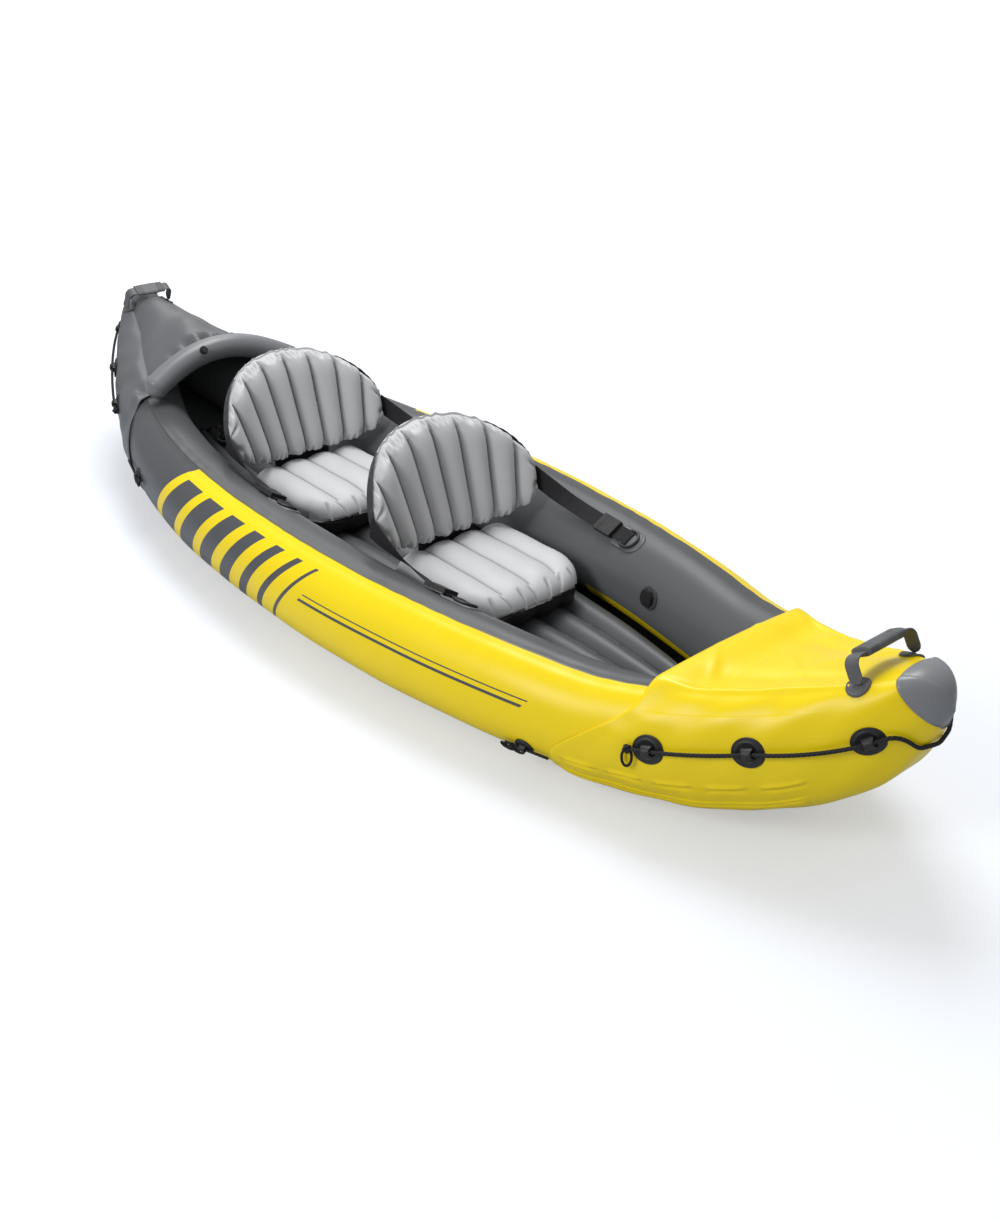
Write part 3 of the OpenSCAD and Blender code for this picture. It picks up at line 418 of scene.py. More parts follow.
def plain_vinyl(name, tone, rough, grain):
    """Coated vinyl of one colour."""
    return finish(name, lambda s: vinyl_coat(s, tone, rough, grain), Specular_IOR_Level=0.5)


def sealed(name, rows, uv=None):
    """A mesh on rings of points, closed at each end to the middle of its last ring."""
    return skin(name, rows, (rows[0].mean(0), rows[-1].mean(0)), uv)


bottom_vinyl = plain_vinyl("bottom_vinyl", ink(34, 35, 37), 0.42, 0.0003)
piece = sealed("ribbed_bottom", np.concatenate([under, over], 1))
dress(piece, "hull", bottom_vinyl, "bottom_skin")


# Inflated floor: five lengthwise air tubes of dark grey vinyl, welded to each other along their valleys.
# It lies on the bottom skin between the side tubes, and its valleys pucker where the welds draw them in.
floor_front, floor_back, floor_top, tubes = 0.715 * nose, -0.7 * nose, 0.086, 5
floor_x = np.linspace(floor_back, floor_front, 170)[:, None]
floor_t = np.linspace(0, 1, 121)[None, :]
floor_low = rocker(floor_x) - 0.0004
floor_share = (floor_x - floor_back) / (floor_front - floor_back)
puff = np.minimum(1, 1.09 * np.sin(np.pi * (0.06 + 0.88 * floor_share)) ** 0.25)
bulge = np.abs(np.sin(np.pi * tubes * floor_t)) ** 0.72
pinch = 0.0012 * hump(np.abs(bulge), 0.35) * np.sin(floor_x * 260 + 9 * np.sin(floor_x * 31))
crown = floor_low + (floor_top - keel + 0.0004) * puff * (0.62 + 0.38 * bulge) + pinch - 0.0003
floor_half = inner(floor_x) - 0.004
upper = np.stack(np.broadcast_arrays(floor_x, floor_half * (2 * floor_t - 1), crown), -1)
lower = np.stack(np.broadcast_arrays(floor_x, floor_half * (2 * floor_t[:, ::-6] - 1), floor_low), -1)
floor_vinyl = plain_vinyl("floor_vinyl", ink(80, 82, 84), 0.4, 0.0002)
piece = sealed("floor_tubes", np.concatenate([upper, lower], 1))
dress(piece, "hull", floor_vinyl, "floor_chamber")


# End covers: cups of coated fabric drawn over the ends of the tubes, yellow on the bow and grey on the stern.
# The bow's edge is rolled up into a lip against spray; the stern's is held up by the inflated arch.
cover_off, cover_wall = 0.005, 0.003
bow_deck, bow_skirt, stern_deck, stern_skirt = 0.461, 0.155, 0.528, 0.188
keel_steps, side_steps, deck_steps, cover_rows = 10, 181, 36, 108
deck_middle = keel_steps + side_steps + deck_steps - 1
side_angle = np.linspace(-90, 90, side_steps)
deck_line = np.concatenate([np.full(keel_steps, -90.0), side_angle, np.full(deck_steps, 90.0)])
deck_share = np.concatenate([np.zeros(keel_steps + side_steps), np.linspace(0, 1, deck_steps + 1)[1:]])
deck_keel = np.concatenate([np.linspace(0, 1, keel_steps + 1)[:-1], np.ones(side_steps + deck_steps)])
girth = np.concatenate([deck_line, deck_line[-2:0:-1]])[None, :]
share = np.concatenate([deck_share, deck_share[-2:0:-1]])[None, :]
inward = np.concatenate([deck_keel, deck_keel[-2:0:-1]])[None, :]
board = np.concatenate([-np.ones(deck_middle + 1), np.ones(deck_middle - 1)])[None, :]


def bow_edge(angle):
    """Where the bow cover ends at an angle round the tube: short on deck, with a longer skirt below."""
    return nose - bow_deck - bow_skirt * (1 - ease((angle + 30) / 90))


def stern_edge(angle, inboard):
    """Where the stern cover ends: hollowed on deck, and longer down the sides."""
    skirt = np.where(inboard > 0, 0.1 * (1 - inboard) ** 2.5, 1 - 0.9 * ease((angle + 60) / 150))
    return -nose + stern_deck + stern_skirt * skirt


def deck_crown(x):
    """How far the deck's middle stands over the tubes: level on the bow, rising to the arch on the stern."""
    return np.where(x > 0, 0.006, 0.014 + 0.098 * np.clip((x + nose) / stern_deck, 0, 1))


def cover(x, off, lift=0.0):
    """The covers' surface: the tubes' ellipse on the sides, a deck crowned by a parabola, a flat bottom."""
    p = tube(x, girth, board, off)
    z = p[..., 2] + rounding(x) * (deck_crown(x) * (1 - (1 - share) ** 2) + lift)
    return np.stack([p[..., 0], p[..., 1] * (1 - share) * inward, z], -1)


def cover_stations(edge, end, rows):
    """Stations that start at the cover's edge and close up towards the nose."""
    t = np.linspace(0, 0.985, rows)[:, None]
    return edge + (end * (nose - 0.002) - edge) * (1 - (1 - t) ** 1.7)


def fabric_coat(s, tone, rough):
    """Coated fabric: the weave shows faintly through the coat, with soft mottling."""
    weave = s.threads("X", 190.0, 1.2) * s.threads("Z", 190.0, 1.2)
    cloud = s.noise(6.0, 4.0)
    shaded = s.node("HueSaturation", {}, {"Color": tone, "Value": 0.96 + 0.08 * cloud})
    return {"Base Color": shaded, "Roughness": rough + 0.12 * (cloud - 0.5),
            "Normal": s.bump(0.3, 0.00018, weave + s.noise(300.0, 2.0) * 0.8)}


def walled(piece, thick):
    """Gives an open shell a wall, inwards."""
    wall = piece.modifiers.new("wall", "SOLIDIFY")
    wall.thickness, wall.offset = thick, -1


bow_fabric = finish("bow_fabric", lambda s: fabric_coat(s, yellow, 0.34), Specular_IOR_Level=0.38)
stern_fabric = finish("stern_fabric", lambda s: fabric_coat(s, ink(92, 94, 97), 0.44), Specular_IOR_Level=0.5)
edge = bow_edge(girth)
x = cover_stations(edge, 1, cover_rows)
from_edge = x - edge
lip = 0.017 * ease((girth - 45) / 35) * hump(from_edge, 0.055)
hollow = -0.005 * hump(from_edge - 0.085, 0.035) * ease((girth - 60) / 25)
across = np.abs(tube(x, girth, board)[..., 1] * (1 - share))
shoulder = 0.0045 * hump(girth - 76, 5) * (share < 0.001) * ease(from_edge / 0.08) * ease((1.42 - x) / 0.1)
trough = -0.005 * hump(share - 0.3, 0.22) * ease(from_edge / 0.1) * ease((1.40 - x) / 0.15)
# Each crease in the deck: its place along and across the boat, and its slant.
crease = 0
creases = ((1.02, 0.05, 0.9), (1.09, -0.10, -0.7), (1.17, 0.12, 0.5), (1.24, -0.05, -1.1), (1.30, 0.04, 0.8))
for crease_x, crease_y, slope in creases:
    aside = board * across - crease_y
    crease = crease + hump(x - crease_x - slope * aside, 0.010) * hump(aside, 0.06)
crease = 0.0026 * crease * ease((girth - 70) / 15)
dash_at = np.array([0.955, 1.045, 1.135, 1.225, 1.315])
dashes = sum(1 - ease((np.abs(x - d) - 0.024) / 0.010) for d in dash_at)
tucks = dashes * (0.0040 * hump(girth + 21, 2.2) - 0.0034 * hump(girth + 26, 2.2))
first_step, next_step, last_step = (ease((girth + angle) / 1.2) for angle in (56, 48, 43))
hem = first_step * (1 - next_step) + 0.55 * next_step * (1 - last_step)
hem = 0.0055 * hem * ease((1.345 - x) / 0.006) * ease(from_edge / 0.03)
soft = 0.0010 * np.sin(x * 31 + girth / 17) + 0.0008 * np.sin(x * 57 - girth / 11)
sag = 0.0022 * np.sin(x * 44 + girth / 9) * hump(girth - 40, 22) * hump(x - 1.02, 0.12)
out_by = cover_off + tucks + hem + sag + soft * ease(from_edge / 0.05)
rows = cover(x, out_by, lip + (hollow + trough + crease) * (girth > 45) + shoulder)
piece = skin("bow_cover_shell", rows, (None, [nose + 0.0038, 0, float(mid_z(nose))]), flip=False)
walled(piece, cover_wall)
dress(piece, "hull", bow_fabric, "bow_cover")

edge = stern_edge(girth, share)
x = cover_stations(edge, -1, cover_rows)
from_edge = edge - x
across = tube(x, girth, board)[..., 1] * (1 - share)
gathers = np.sin(across * 88 + 1.7 * np.sin(across * 31) + 9 * from_edge)
gathers = gathers + 0.6 * np.sin(across * 143 + 2.1 - 14 * from_edge)
fan = 0.0105 * gathers * hump(from_edge - 0.036, 0.034) * ease((girth - 30) / 40)
fold = 0.0064 * np.sin(across * 37 + x * 21) * hump(from_edge - 0.15, 0.12) * ease((girth - 40) / 40)
drape = 0.0030 * np.sin(girth / 7.5 + 26 * from_edge) * hump(from_edge - 0.12, 0.14) * hump(girth - 45, 40)
soft = 0.0012 * np.sin(x * 37 + girth / 13) + 0.0010 * np.sin(x * 71 - girth / 9)
rows = cover(x, cover_off + (soft + drape) * ease(from_edge / 0.05), (fan + fold) * (girth > 30))
piece = skin("stern_cover_shell", rows, (None, [-nose - 0.0038, 0, float(mid_z(-nose))]), flip=True)
walled(piece, cover_wall)
dress(piece, "hull", stern_fabric, "stern_cover")


# Nose patches: domes of thick grey vinyl glued over both tips against wear.
# Each lies close on its cover, and its edge lies in a plane that leans back.
cap_off, patch_wall = 0.0072, 0.002


def nose_rows(end, deck, count):
    """Rows of a cap: each section line starts where it meets the leaning plane, found by halving."""
    lean = np.sqrt(0.5)
    crown_x = np.full_like(girth, end * (nose - deck))
    crown_point = cover(crown_x, cap_off)[0, deck_middle]
    level = (end * crown_point[0] + crown_point[2]) * lean
    low = np.full_like(girth, end * (nose - deck - 0.04))
    high = np.full_like(girth, end * (nose - 0.004))
    for halving in range(24):
        middle = (low + high) / 2
        p = cover(middle, cap_off)
        past = (end * p[..., 0] + p[..., 2]) * lean > level
        low, high = np.where(past, low, middle), np.where(past, middle, high)
    t = np.linspace(0, 0.985, count)[:, None]
    rim = 0.0008 * hump(t - 0.03, 0.03) - 0.0015 * hump(t, 0.006)
    return cover(cover_stations(low, end, count), cap_off + patch_wall + rim)


cap_vinyl = plain_vinyl("cap_vinyl", ink(124, 126, 129), 0.28, 0.0002)
for name, end, deck in (("bow_cap", 1, 0.080), ("stern_cap", -1, 0.096)):
    tip = [end * (length / 2 - 0.0002), 0, float(mid_z(end * nose))]
    piece = skin(name + "_dome", nose_rows(end, deck, 60), (None, tip), flip=end < 0)
    walled(piece, patch_wall)
    dress(piece, "hull", cap_vinyl, name)


# Stern arch: a small air tube of grey vinyl that stands on both side tubes and holds the stern deck up.
# It is welded along one seam, wrinkles on its inner bend, and is glued down at both feet.
arch_radius, arch_rise, arch_sweep, arch_spread = 0.035, 0.080, 0.02538, 0.016
arch_crest = -nose + stern_deck + arch_radius + 0.0008 + 0.002
arch_foot = np.array(arch_crest + arch_sweep)
arch_half = float(tube_mid(arch_foot)) + arch_spread
foot_drop = np.sqrt(1 - (arch_spread / (breadth(arch_foot) - inner(arch_foot)) * 2) ** 2)
arch_base = float(mid_z(arch_foot) + half_z(arch_foot) * foot_drop) + arch_radius + 0.0004


def arch_line(a):
    """The arch's middle line: across by an angle's sine, forward and up by powers of its sine and cosine."""
    w, c = np.sin(np.radians(a)), np.cos(np.radians(a))
    forward, up = arch_sweep * np.abs(w) ** 2.5, arch_rise * c ** 2.4
    return np.stack([arch_crest + forward, arch_half * w, arch_base + up], -1)


def sweep(path, ring):
    """Carries a ring of (across, up) sizes, one row for each point, along a path, upright where it can be."""
    way = unit(np.gradient(path, axis=0))
    across = unit(np.cross(way, [0.0, 0.0, 1.0]))
    up = np.cross(across, way)
    return path[:, None] + ring[..., :1] * across[:, None] + ring[..., 1:] * up[:, None]


def even(path, count):
    """The same line with points at even steps along it."""
    run = np.concatenate([[0], np.cumsum(np.linalg.norm(np.diff(path, axis=0), axis=1))])
    at = np.linspace(0, run[-1], count)
    return np.stack([np.interp(at, run, path[:, q]) for q in range(3)], -1)


def rounded(path, passes):
    """Rounds a line's corners by averaging neighbours, with its ends kept."""
    for smoothing in range(passes):
        path[1:-1] = 0.25 * path[:-2] + 0.5 * path[1:-1] + 0.25 * path[2:]
    return path


def full_turn(count):
    """Angles once round a section, as one row."""
    return np.linspace(0, 2 * np.pi, count, endpoint=False)[None, :]


arch_steps = 190
arch_path = even(arch_line(np.linspace(-89.9, 89.9, 400)), arch_steps)
turn = full_turn(56)
walk = np.linspace(0, 1, arch_steps)[:, None]
close = np.sqrt(1 - np.clip(1 - np.minimum(walk, 1 - walk) / 0.05, 0, 0.98) ** 2)
wrinkle = 0.0011 * np.sin(walk * 330 + 2 * np.sin(walk * 41)) * hump(np.sin((turn - 3.9) / 2), 0.32)
weld = 0.0013 * hump(np.sin((turn - 2.2) / 2), 0.03) - 0.0009 * hump(np.sin((turn - 2.2) / 2), 0.12)
radius = arch_radius * close * (1 + 0 * turn) - 0.0004 + wrinkle + weld
rows = sweep(arch_path, np.stack([radius * np.cos(turn), radius * np.sin(turn)], -1))
arch_vinyl = plain_vinyl("arch_vinyl", ink(116, 118, 121), 0.32, 0.0002)
piece = skin("stern_arch_tube", rows, (arch_path[0], arch_path[-1]))
dress(piece, "hull", arch_vinyl, "stern_arch")


# Carry handles: a strap of grey rubber with a ribbed, padded grip moulded round its middle.
# A rivet holds each foot of the strap to a round tab that is welded to the cover.
handle_width, handle_thick, handle_angle = 0.028, 0.003, 78.0
tab_size, tab_seat = 0.044, cover_off + 0.0008
grip_length, grip_half = 0.104, 0.0212


def leant(rows, x, z, angle):
    """Turns points about a level line across the boat, forward for a positive angle in degrees."""
    c, w = np.cos(np.radians(angle)), np.sin(np.radians(angle))
    dx, dz = rows[..., 0] - x, rows[..., 2] - z
    return np.stack([x + c * dx + w * dz, rows[..., 1], z - w * dx + c * dz], -1)


def handle_paint(s):
    """Moulded rubber: fine grain, paler where hands rub it."""
    worn = s.noise(40.0, 4.0)
    grain = s.noise(900.0, 2.0)
    tone = s.mix(worn, ink(76, 78, 80), ink(98, 100, 102))
    return {"Base Color": tone, "Roughness": 0.42 + 0.15 * worn, "Normal": s.bump(0.4, 0.0002, grain)}


def onto_tube(p, side, off):
    """Moves points onto a tube along their angle round its middle line."""
    x = p[..., 0]
    up = (p[..., 2] - mid_z(x)) / half_z(x)
    out = (side * p[..., 1] - tube_mid(x)) * 2 / (breadth(x) - inner(x))
    return tube(x, np.degrees(np.arctan2(up, out)), side, off)


def onto_deck(p, side, off):
    """Moves points onto a cover: the side's curve outboard of the tube's top, the crowned deck inboard."""
    x = p[..., 0]
    out = side * p[..., 1] / tube_mid(x)
    high = mid_z(x) + half_z(x) + off + rounding(x) * deck_crown(x) * (1 - out ** 2)
    deck = np.stack([x, p[..., 1], high], -1)
    inboard = (side * p[..., 1] < tube_mid(x)) & (p[..., 2] > mid_z(x))
    return np.where(inboard[..., None], deck, onto_tube(p, side, off))


def disc(place, normal, way, size, height):
    """A round patch in polar rings from its middle out: its flat points, and their heights by radius."""
    fore = unit(way - (way * normal).sum() * normal)
    across = np.cross(fore, normal)
    r = np.concatenate([np.linspace(0.02, 0.97, 34), [0.985, 0.995, 1.0, 1.0]])[:, None]
    a = full_turn(72)
    lift = height(r) * np.ones_like(r * a)
    lift[-1] = 0
    return place + size / 2 * ((r * np.cos(a))[..., None] * fore + (r * np.sin(a))[..., None] * across), lift


def soft_edge(r, width):
    """Full height inside, rounded down to nothing over a width at radius 1."""
    return np.sqrt(np.clip((1 - r) / width, 0, 1))


def rounded_square(c, n):
    """How far a square with round corners reaches at an angle, squarer for a higher power."""
    return (np.abs(np.cos(c)) ** n + np.abs(np.sin(c)) ** n) ** (-1 / n)


def fuller(v, power):
    """A sine or cosine drawn out by a power, its sign kept, which fills a round section's corners."""
    return np.sign(v) * np.abs(v) ** power


def join(name, meshes):
    """Makes one object of several."""
    for m in meshes:
        m.select_set(True)
    with bpy.context.temp_override(active_object=meshes[0], selected_editable_objects=meshes):
        bpy.ops.object.join()
    meshes[0].name = name
    meshes[0].data.name = name
    return meshes[0]


def tab_height(r):
    """A flat tab with a raised rim, a shallow groove inside it and a domed rivet in the middle."""
    rim = 0.0009 * hump(r - 0.9, 0.06) - 0.0007 * hump(r - 0.74, 0.05)
    return 0.0028 * soft_edge(r, 0.06) + rim + 0.0016 * np.sqrt(np.clip(1 - (r / 0.3) ** 2, 0, 1))


handle_rubber = finish("handle_rubber", handle_paint, Specular_IOR_Level=0.4)
# Each handle: its end of the boat, how far back it lies, its rise, its lean and its grip's half depth.
handles = (("bow", 1, 0.128, 0.034, -30, 0.0092), ("stern", -1, 0.106, 0.044, 32, 0.0058))
for end_name, end, back, rise, lean, plump in handles:
    handle = end_name + "_handle"
    hx = np.array(end * (nose - back))
    tabs = []
    for side_name, side in boards:
        n = tube_normal(hx, handle_angle, side)
        face = tube(hx, handle_angle, side, tab_seat)
        flat, lift = disc(face, n, np.array([1.0, 0, 0]), tab_size, tab_height)
        tabs.append(sealed("tab", onto_deck(flat, side, tab_seat + lift)))
        pivot = face + n * (0.003 + handle_width / 2 + 0.0002)
    dress(join(handle + "_round_tabs", tabs), "hull", handle_rubber, handle + "_tabs")
    px, half, pz = pivot[0], abs(pivot[1]), pivot[2]
    bend = min(0.018, rise - 0.004) - handle_thick / 2
    top = pz + rise - handle_thick / 2
    arc = np.radians(np.linspace(180, 90, 14))[:, None]
    turned_y, turned_z = -half + bend + bend * np.cos(arc), top - bend + bend * np.sin(arc)
    left = np.concatenate([px + 0 * arc, turned_y, turned_z], 1)
    leg = np.array([[px, -half, pz + up] for up in (-handle_width / 2, -0.006, 0, 0.006)])
    run = np.concatenate([leg, left[1:]])
    path = even(np.concatenate([run, (run * [1, -1, 1])[::-1]]), 150)
    way = unit(np.gradient(path, axis=0))
    flat = np.array([1.0, 0, 0])
    out = np.cross(way, flat)
    c = full_turn(36)
    s = np.linspace(0, 1, 150)[:, None]
    from_foot = np.minimum(s, 1 - s)
    foot_round = np.sqrt(np.clip(1 - (1 - from_foot / 0.06).clip(0) ** 2, 0.02, 1))
    wide = handle_width / 2 * foot_round
    square = rounded_square(c, 8)
    edge_roll = 0.0005 * hump(np.abs(np.cos(c)) - 0.86, 0.08)
    w = wide * np.clip(np.cos(c) * square, -1, 1)
    d = (handle_thick / 2 + edge_roll) * np.clip(np.sin(c) * square, -1, 1)
    rows = path[:, None] + w[..., None] * flat + d[..., None] * out[:, None]
    rows, path = leant(rows, px, pz, lean), leant(path, px, pz, lean)
    strap = skin(handle + "_loop", rows, (path[0], path[-1]))
    dress(strap, handle, handle_rubber, handle + "_strap")
    span = min(grip_length, 2 * (half - 0.024))
    s = np.linspace(-1, 1, 120)[:, None]
    bead = 1 - 0.16 * (0.5 + 0.5 * np.cos(s * np.pi * 18)) * (np.abs(s) > 0.5) * (np.abs(s) < 0.95)
    ends_in = np.sqrt(np.clip(1 - ((np.abs(s) - 0.94) / 0.06).clip(0, 1) ** 2, 0.05, 1))
    wide, deep = grip_half * bead * ends_in, plump * bead * ends_in
    c = full_turn(44)
    rows = np.stack([px + wide * fuller(np.cos(c), 2 / 2.8), s * span / 2 + 0 * c,
                     top + deep * fuller(np.sin(c), 2 / 2.8)], -1)
    grip = sealed(handle + "_padded_grip", leant(rows, px, pz, lean))
    dress(grip, handle, handle_rubber, handle + "_grip")


# Grab-line pads: round patches of black rubber, three on each side of both covers and welded to them.
# Each is moulded in one with a bridge, and the rope runs under it.
rope_size, pad_size, pad_thick, pad_first, pad_pitch = 0.008, 0.060, 0.004, 0.080, 0.166
rope_lift, pad_seat = pad_thick + rope_size / 2 + 0.0023, cover_off + 0.0004


def line_angle(x):
    """Height of the rope round the hull, as an angle on the tube, straight between the pads."""
    at = np.array([nose - pad_first - i * pad_pitch for i in (2, 1, 0)])
    return np.where(x > 0, np.interp(np.abs(x), at, [11, 13, 4]), np.interp(np.abs(x), at, [18, 16, 8]))


def line_at(x, below, side, lift):
    """Points on or over the cover, some degrees below the rope's height."""
    a = line_angle(x) - below
    return tube(x, a, side, pad_seat) + tube_normal(x, a, side) * lift


def pad_height(r):
    """A flange with a soft edge, a raised ring, and a dished middle under the bridge."""
    ring = 0.0016 * hump(r - 0.66, 0.075) + 0.0006 * hump(r - 0.93, 0.05)
    return 0.0036 * soft_edge(r, 0.05) + ring - 0.0016 * np.clip(1 - (r / 0.56) ** 4, 0, 1)


def bridge(place, normal, way, reach, lift, wide, thick):
    """A moulded bridge: a rounded bar, wider at its feet, carried over the rope on half an oval."""
    fore = unit(way - (way * normal).sum() * normal)
    across = np.cross(normal, fore)
    a = np.linspace(0, np.pi, 44)[:, None]
    c = full_turn(28)
    w = wide / 2 * (1 + 0.35 * np.abs(np.cos(a)) ** 3) * fuller(np.cos(c), 2 / 3.2)
    d = thick / 2 * fuller(np.sin(c), 2 / 3.2)
    out = (reach + d) * np.cos(a)
    high = 0.0012 + (lift + d) * np.sin(a) ** 0.7
    return place + w[..., None] * fore + out[..., None] * across + high[..., None] * normal


def pad_paint(s):
    """Moulded black rubber, a little dusty in its grain."""
    dust = s.noise(60.0, 4.0)
    grain = s.noise(1100.0, 2.0)
    return {"Base Color": s.mix(dust, ink(22, 22, 24), ink(40, 40, 42)), "Roughness": 0.38 + 0.2 * dust,
            "Normal": s.bump(0.35, 0.0002, grain)}


pad_rubber = finish("pad_rubber", pad_paint, Specular_IOR_Level=0.45)
boat_ends = (("bow", 1), ("stern", -1))
for end_name, end in boat_ends:
    for side_name, side in boards:
        made = []
        for i in range(3):
            px = np.array(end * (nose - pad_first - i * pad_pitch))
            n = tube_normal(px, line_angle(px), side)
            way = line_at(px + 0.01, 0, side, rope_lift) - line_at(px - 0.01, 0, side, rope_lift)
            face = line_at(px, 0, side, 0.0)
            flat, lift = disc(face, n, way, pad_size, pad_height)
            made.append(sealed("pad", onto_tube(flat, side, pad_seat + lift)))
            over_rope = rope_lift + rope_size / 2 + 0.0008
            made.append(sealed("bridge", bridge(face, n, way, 0.0092, over_rope, 0.017, 0.0042)))
        pads = join(f"{end_name}_pads_{side_name}", made)
        dress(pads, "hull", pad_rubber, f"{end_name}_line_pads_{side_name}")


# Grab lines: black three-strand rope that runs under the pads' bridges and round each nose.
# Both ends are held by an overhand knot, and the bow line's ends hang in a small loop.
# The route to the nose: how far back, degrees below the rope's height, and height over the cover.
nose_route = np.array([[0.056, 0, 0.011], [0.045, 5, 0.010], [0.034, 18, 0.0085], [0.024, 44, 0.008]])
lay_length = 0.026


def half_line(end, side):
    """One side's points of a line: evenly along its pads, then down the route to the nose."""
    i = np.arange(18) / 17
    pads = end * (nose - pad_first - 2 * pad_pitch) + end * (i * (2 * pad_pitch + 0.048) - 0.034)
    stem = line_at(end * (nose - nose_route[:, 0]), nose_route[:, 1], side, nose_route[:, 2:])
    return np.concatenate([line_at(pads, 0, side, rope_lift), stem])


def keel_at(x):
    """The cover's lowest point at a station."""
    return np.array([x, 0, float(mid_z(x) - half_z(x)) - cover_off])


def laid_rope(name, path, size, sides=27):
    """Rope: a round section with one swell for each of its three strands, turned evenly along its length."""
    step = np.linalg.norm(np.diff(path, axis=0), axis=1)
    run = np.concatenate([[0], np.cumsum(step)])[:, None]
    c = full_turn(sides)
    radius = size / 2 * (0.87 + 0.13 * np.abs(np.cos(1.5 * (c - 2 * np.pi * run / lay_length))))
    rows = sweep(path, np.stack([radius * np.cos(c), radius * np.sin(c)], -1))
    uv = np.stack(np.broadcast_arrays(run, c / (2 * np.pi)), -1)
    return skin(name, rows, (path[0], path[-1]), uv)


def rope_paint(s):
    """Twisted black fibre: fine slanting yarns, with painted shade between the strands."""
    along_rope, round_rope = s.surface()
    twist = (round_rope - along_rope / lay_length) * 3.0
    # Painted shade: the colour is darkest in the grooves between the three strands and palest on their crowns.
    strand_shading = s.math("COSINE", twist * 2 * np.pi) * 0.5 + 0.5
    yarn = s.math("SINE", (round_rope * 12.0 + along_rope * 420.0) * 2 * np.pi)
    tone = s.mix(strand_shading * (0.75 + 0.25 * yarn), ink(14, 14, 15), ink(46, 46, 48))
    return {"Base Color": tone, "Roughness": 0.62 + 0.1 * yarn, "Normal": s.bump(0.5, 0.0003, yarn)}


def knot(place, way, size):
    """An overhand knot: the line of a trefoil, narrowed to 0.62 across the way that it lies."""
    u = np.linspace(0, 2 * np.pi, 90)
    fore = unit(way)
    across = unit(np.cross(fore, [0.0, 0, 1.0]))
    up = np.cross(across, fore)
    r = (2 + np.cos(3 * u)) * size * 0.42 * 0.62
    along_way = size * 0.6 * np.sin(3 * u)
    return (place + (r * np.cos(2 * u))[:, None] * across + (r * np.sin(2 * u))[:, None] * up
            + along_way[:, None] * fore)


rope_fibre = finish("rope_fibre", rope_paint, Specular_IOR_Level=0.3)
for end_name, end in boat_ends:
    stem = end * (nose - 0.015)
    slope = unit(keel_at(stem + 0.001) - keel_at(stem - 0.001))
    start, back_again = half_line(end, -1), half_line(end, 1)[::-1]
    path = np.concatenate([start, [keel_at(stem) + 0.008 * np.array([slope[2], 0, -slope[0]])], back_again])
    path = even(rounded(even(path, 420), 12), 420)
    made = [laid_rope("rope", path, rope_size)]
    for tip, before in ((path[0], path[6]), (path[-1], path[-7])):
        made.append(laid_rope("knot", knot(tip, tip - before, rope_size), rope_size * 0.82, 18))
        if end == 1:
            u = np.linspace(0.25, 2 * np.pi - 0.25, 60)[:, None]
            drop = -0.019 * (1 - np.cos(u)) * np.array([0, 0, 1.0])
            loop = tip + drop + 0.010 * np.sin(u) * unit(tip - before)
            made.append(laid_rope("loop", loop, rope_size * 0.7, 18))
    dress(join(end_name + "_rope", made), "hull", rope_fibre, end_name + "_grab_line")


# Cover ties: thin black cord from the edge of each cover to a small round pad welded to the side tube.
# The cord runs under the pad's bridge and is finished with a bow knot.
tie_size, tie_cord, tie_lift, tie_seat = 0.042, 0.006, 0.003 + 0.003 + 0.0009, 0.0008
tie_loops, tie_knot, tie_thin = tie_cord * 0.8, tie_cord * 0.7, 18
for end_name, end, back, angle in (("bow", 1, 0.676, -32.0), ("stern", -1, 0.762, 2.0)):
    made = []
    tie_x = np.array(end * (nose - back))
    for side_name, side in boards:
        n = tube_normal(tie_x, angle, side)
        way = tube(tie_x + 0.005, angle, side, 0.008) - tube(tie_x - 0.005, angle, side, 0.008)
        face = tube(tie_x, angle, side, tie_seat)
        flat, lift = disc(face, n, way, tie_size, pad_height)
        made.append(sealed("pad", onto_tube(flat, side, tie_seat + 0.75 * lift)))
        over_cord = tie_lift + tie_cord / 2 + 0.0006
        made.append(sealed("bridge", bridge(face, n, way, 0.0066, over_cord, 0.012, 0.0034)))
        tail = tie_x - end * 0.040
        cover_edge = bow_edge(np.array(angle)) if end > 0 else stern_edge(np.array(angle), np.array(0.0))
        stop = cover_edge - end * 0.0018
        path = tube(tail + (stop - tail) * np.linspace(0, 1, 90), angle, side, tie_seat + tie_lift)
        cord = [laid_rope("cord", path, tie_cord)]
        centre, fore = path[16], unit(way)
        u = np.linspace(0, 2 * np.pi, 70)
        down = unit(np.cross(n, fore))
        down = down * (-1 if down[2] > 0 else 1)
        for lean in (-1, 1):
            drop, aside = 0.019 * np.sin(u) ** 2, lean * 0.0224 * np.sin(u / 2) ** 2 + 0.007 * np.sin(2 * u)
            loop = centre + n * 0.003 + drop[:, None] * down + aside[:, None] * fore
            cord.append(laid_rope("loop", loop, tie_loops, tie_thin))
        cord.append(laid_rope("knot", knot(centre + n * 0.002, fore, tie_loops), tie_knot, tie_thin))
        tie = join(f"{end_name}_tie_{side_name}", cord)
        dress(tie, "hull", rope_fibre, f"{end_name}_tie_cord_{side_name}")
    dress(join(end_name + "_tie_round_pads", made), "hull", pad_rubber, end_name + "_tie_pads")


# Seat cushions: four lengthwise air tubes of pale grey vinyl on a black underside, welded all round.
# The welds pinch the front edge into short folds, and white piping shows where top and underside meet.
seat_length, seat_width, seat_height, seat_tubes = 0.340, 0.340, 0.100, 4
back_width, back_height, back_depth, back_wrap, back_tubes, recline = 0.486, 0.285, 0.056, 0.066, 8, 20
barrel, seam, edge_tuck, hinge_rise = 0.004, 0.0008, 0.003, 0.1028
# Each seat: its name, its hinge's place along the boat and the height of its underside.
seats = (("front", 0.155, 0.090534), ("rear", -0.508, 0.091591))
# The UV map's second value runs once round a section and stays just under 1.
uv_turn = 2.0001


